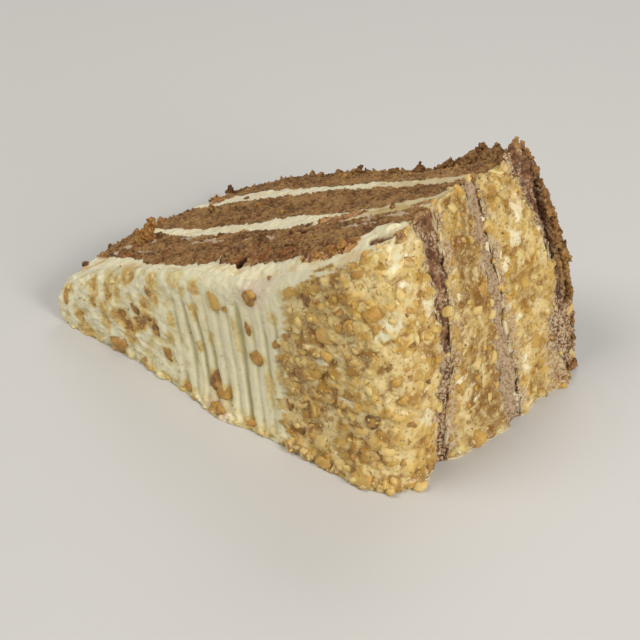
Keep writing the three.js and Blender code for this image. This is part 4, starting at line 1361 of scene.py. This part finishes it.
def pressed_in_nuts(random):
    """Pieces of nut pressed into the frosting, their outer side proud of it."""
    shape, tones, skins = bmesh.new(), [], []
    spots = [(reach, turn, None, *rest) for reach, turn, *rest in nuts_in_comb]
    spots += [(None, turn, y, *rest) for turn, y, *rest in nuts_in_side]
    for reach, turn, y, length, width, tone, skin, *stands_out in spots:
        thickness = 0.45 * min(length, width) + 1.2
        here, along, up, outward = nut_spot(reach, turn, y)
        proud = stands_out[0] if stands_out else nut_proud
        centre = here + np.array(outward) * (proud - thickness / 2)
        centre[2] = max(centre[2], length / 2)
        turned = Matrix((along, up, outward)).transposed().to_4x4()
        lean = Matrix.Rotation(0.28 + random.uniform(-0.3, 0.3), 4, "Z")
        placed = (Matrix.Translation(in_frame(centre)) @ turned @ lean
                  @ Matrix.Diagonal((width * MM * uncut, length * MM * uncut, thickness * MM, 1)))
        made = bmesh.ops.create_icosphere(shape, subdivisions=3, radius=0.5)["verts"]
        for vertex in made:
            vertex.co *= random.uniform(0.91, 1.09)
        for cut in range(flat_sides):
            outwards = Vector(random.normal(size=3)).normalized()
            edge = random.uniform(0.28, 0.46)
            for vertex in made:
                vertex.co -= max(0, vertex.co.dot(outwards) - edge) * outwards
        bmesh.ops.transform(shape, matrix=placed, verts=made)
        for vertex in made:
            vertex.co.z = max(vertex.co.z, 0)
        tones += [tone] * len(made)
        skins += [skin] * len(made)
    mesh = mesh_of(shape, "pressed_in_walnuts")
    mark(mesh, tone=tones, skin=skins)
    mesh.shade_smooth()
    mesh.materials.append(walnut)
    return in_scene("pressed_in_walnuts", mesh)


fitted(pressed_in_nuts(random), "chopped_nuts", *creams)

crumbled_skin = skin_over("crumbled_skin", creams | sponges, crumb_covers)
for name, apart, smallest, largest, sunk, seed in (
        ("sponge_crumbs", 2.2, 1.2, 2.6, 0.2, 41), ("fine_sponge_crumbs", 1.1, 0.6, 1.5, 0.1, 43)):
    scatter(name, crumb_piece, 2, crumbled_skin, "sponge", sponges, apart, smallest, largest,
            cover="crumb_cover", sunk=sunk, tilt=3.0, seed=seed, finish=sponge_crumb)


# ---- the stage ----

def add_floor():
    half = 2.0
    mesh = bpy.data.meshes.new("floor")
    mesh.from_pydata([(-half, -half, 0), (half, -half, 0), (half, half, 0), (-half, half, 0)],
                     [], [(0, 1, 2, 3)])
    pale = Finish("pale_floor", Roughness=0.5, Base_Color=colour(208, 206, 202))
    mesh.materials.append(pale.material)
    in_scene("floor", mesh)


slice_middle = Vector((0, 0, 0.025))


def add_light(name, stands, size, power, tint=(1, 1, 1)):
    """A soft round light that points at the slice."""
    lamp = bpy.data.lights.new(name, "AREA")
    lamp.shape, lamp.size = "DISK", size
    lamp.energy, lamp.color = power, tint
    light = in_scene(name, lamp)
    light.location = stands
    light.rotation_mode = "QUATERNION"
    light.rotation_quaternion = (slice_middle - Vector(stands)).to_track_quat("-Z", "Y")


def add_camera(stands, azimuth, elevation, roll, lens):
    """Azimuth 0 looks along +Y, and the camera leans to its side by roll."""
    a, e, r = (math.radians(angle) for angle in (azimuth, elevation, roll))
    level = Vector((math.cos(a), math.sin(a), 0))
    upright = Vector((-math.sin(a) * math.sin(e), math.cos(a) * math.sin(e), math.cos(e)))
    right = level * math.cos(r) + upright * math.sin(r)
    up = upright * math.cos(r) - level * math.sin(r)
    data = bpy.data.cameras.new("camera")
    data.sensor_width, data.lens = 36, lens
    camera = in_scene("camera", data)
    turned = Matrix((right, up, right.cross(up))).transposed()
    camera.matrix_world = Matrix.Translation(Vector(stands) * MM) @ turned.to_4x4()
    bpy.context.scene.camera = camera


add_floor()
add_camera(stands=(292.1 + axis_x, face_y - 296.9, 299.35), azimuth=34, elevation=35.504,
           roll=4.847, lens=98.44)
add_light("key_softbox", (-0.45, -0.55, 1.05), size=0.6, power=6.4, tint=(1.0, 0.98, 0.95))
add_light("fill_softbox", (0.92, -0.2, 0.62), size=0.6, power=8, tint=(1.0, 0.97, 0.92))
add_light("back_softbox", (-0.3, 0.8, 0.8), size=0.8, power=2.5)

world = bpy.data.worlds.new("soft_studio")
world.use_nodes = True
sky = world.node_tree.nodes["Background"].inputs
sky["Color"].default_value = (1.0, 0.99, 0.97, 1)
sky["Strength"].default_value = 0.25
bpy.context.scene.world = world
bpy.context.scene.view_settings.view_transform = "Standard"
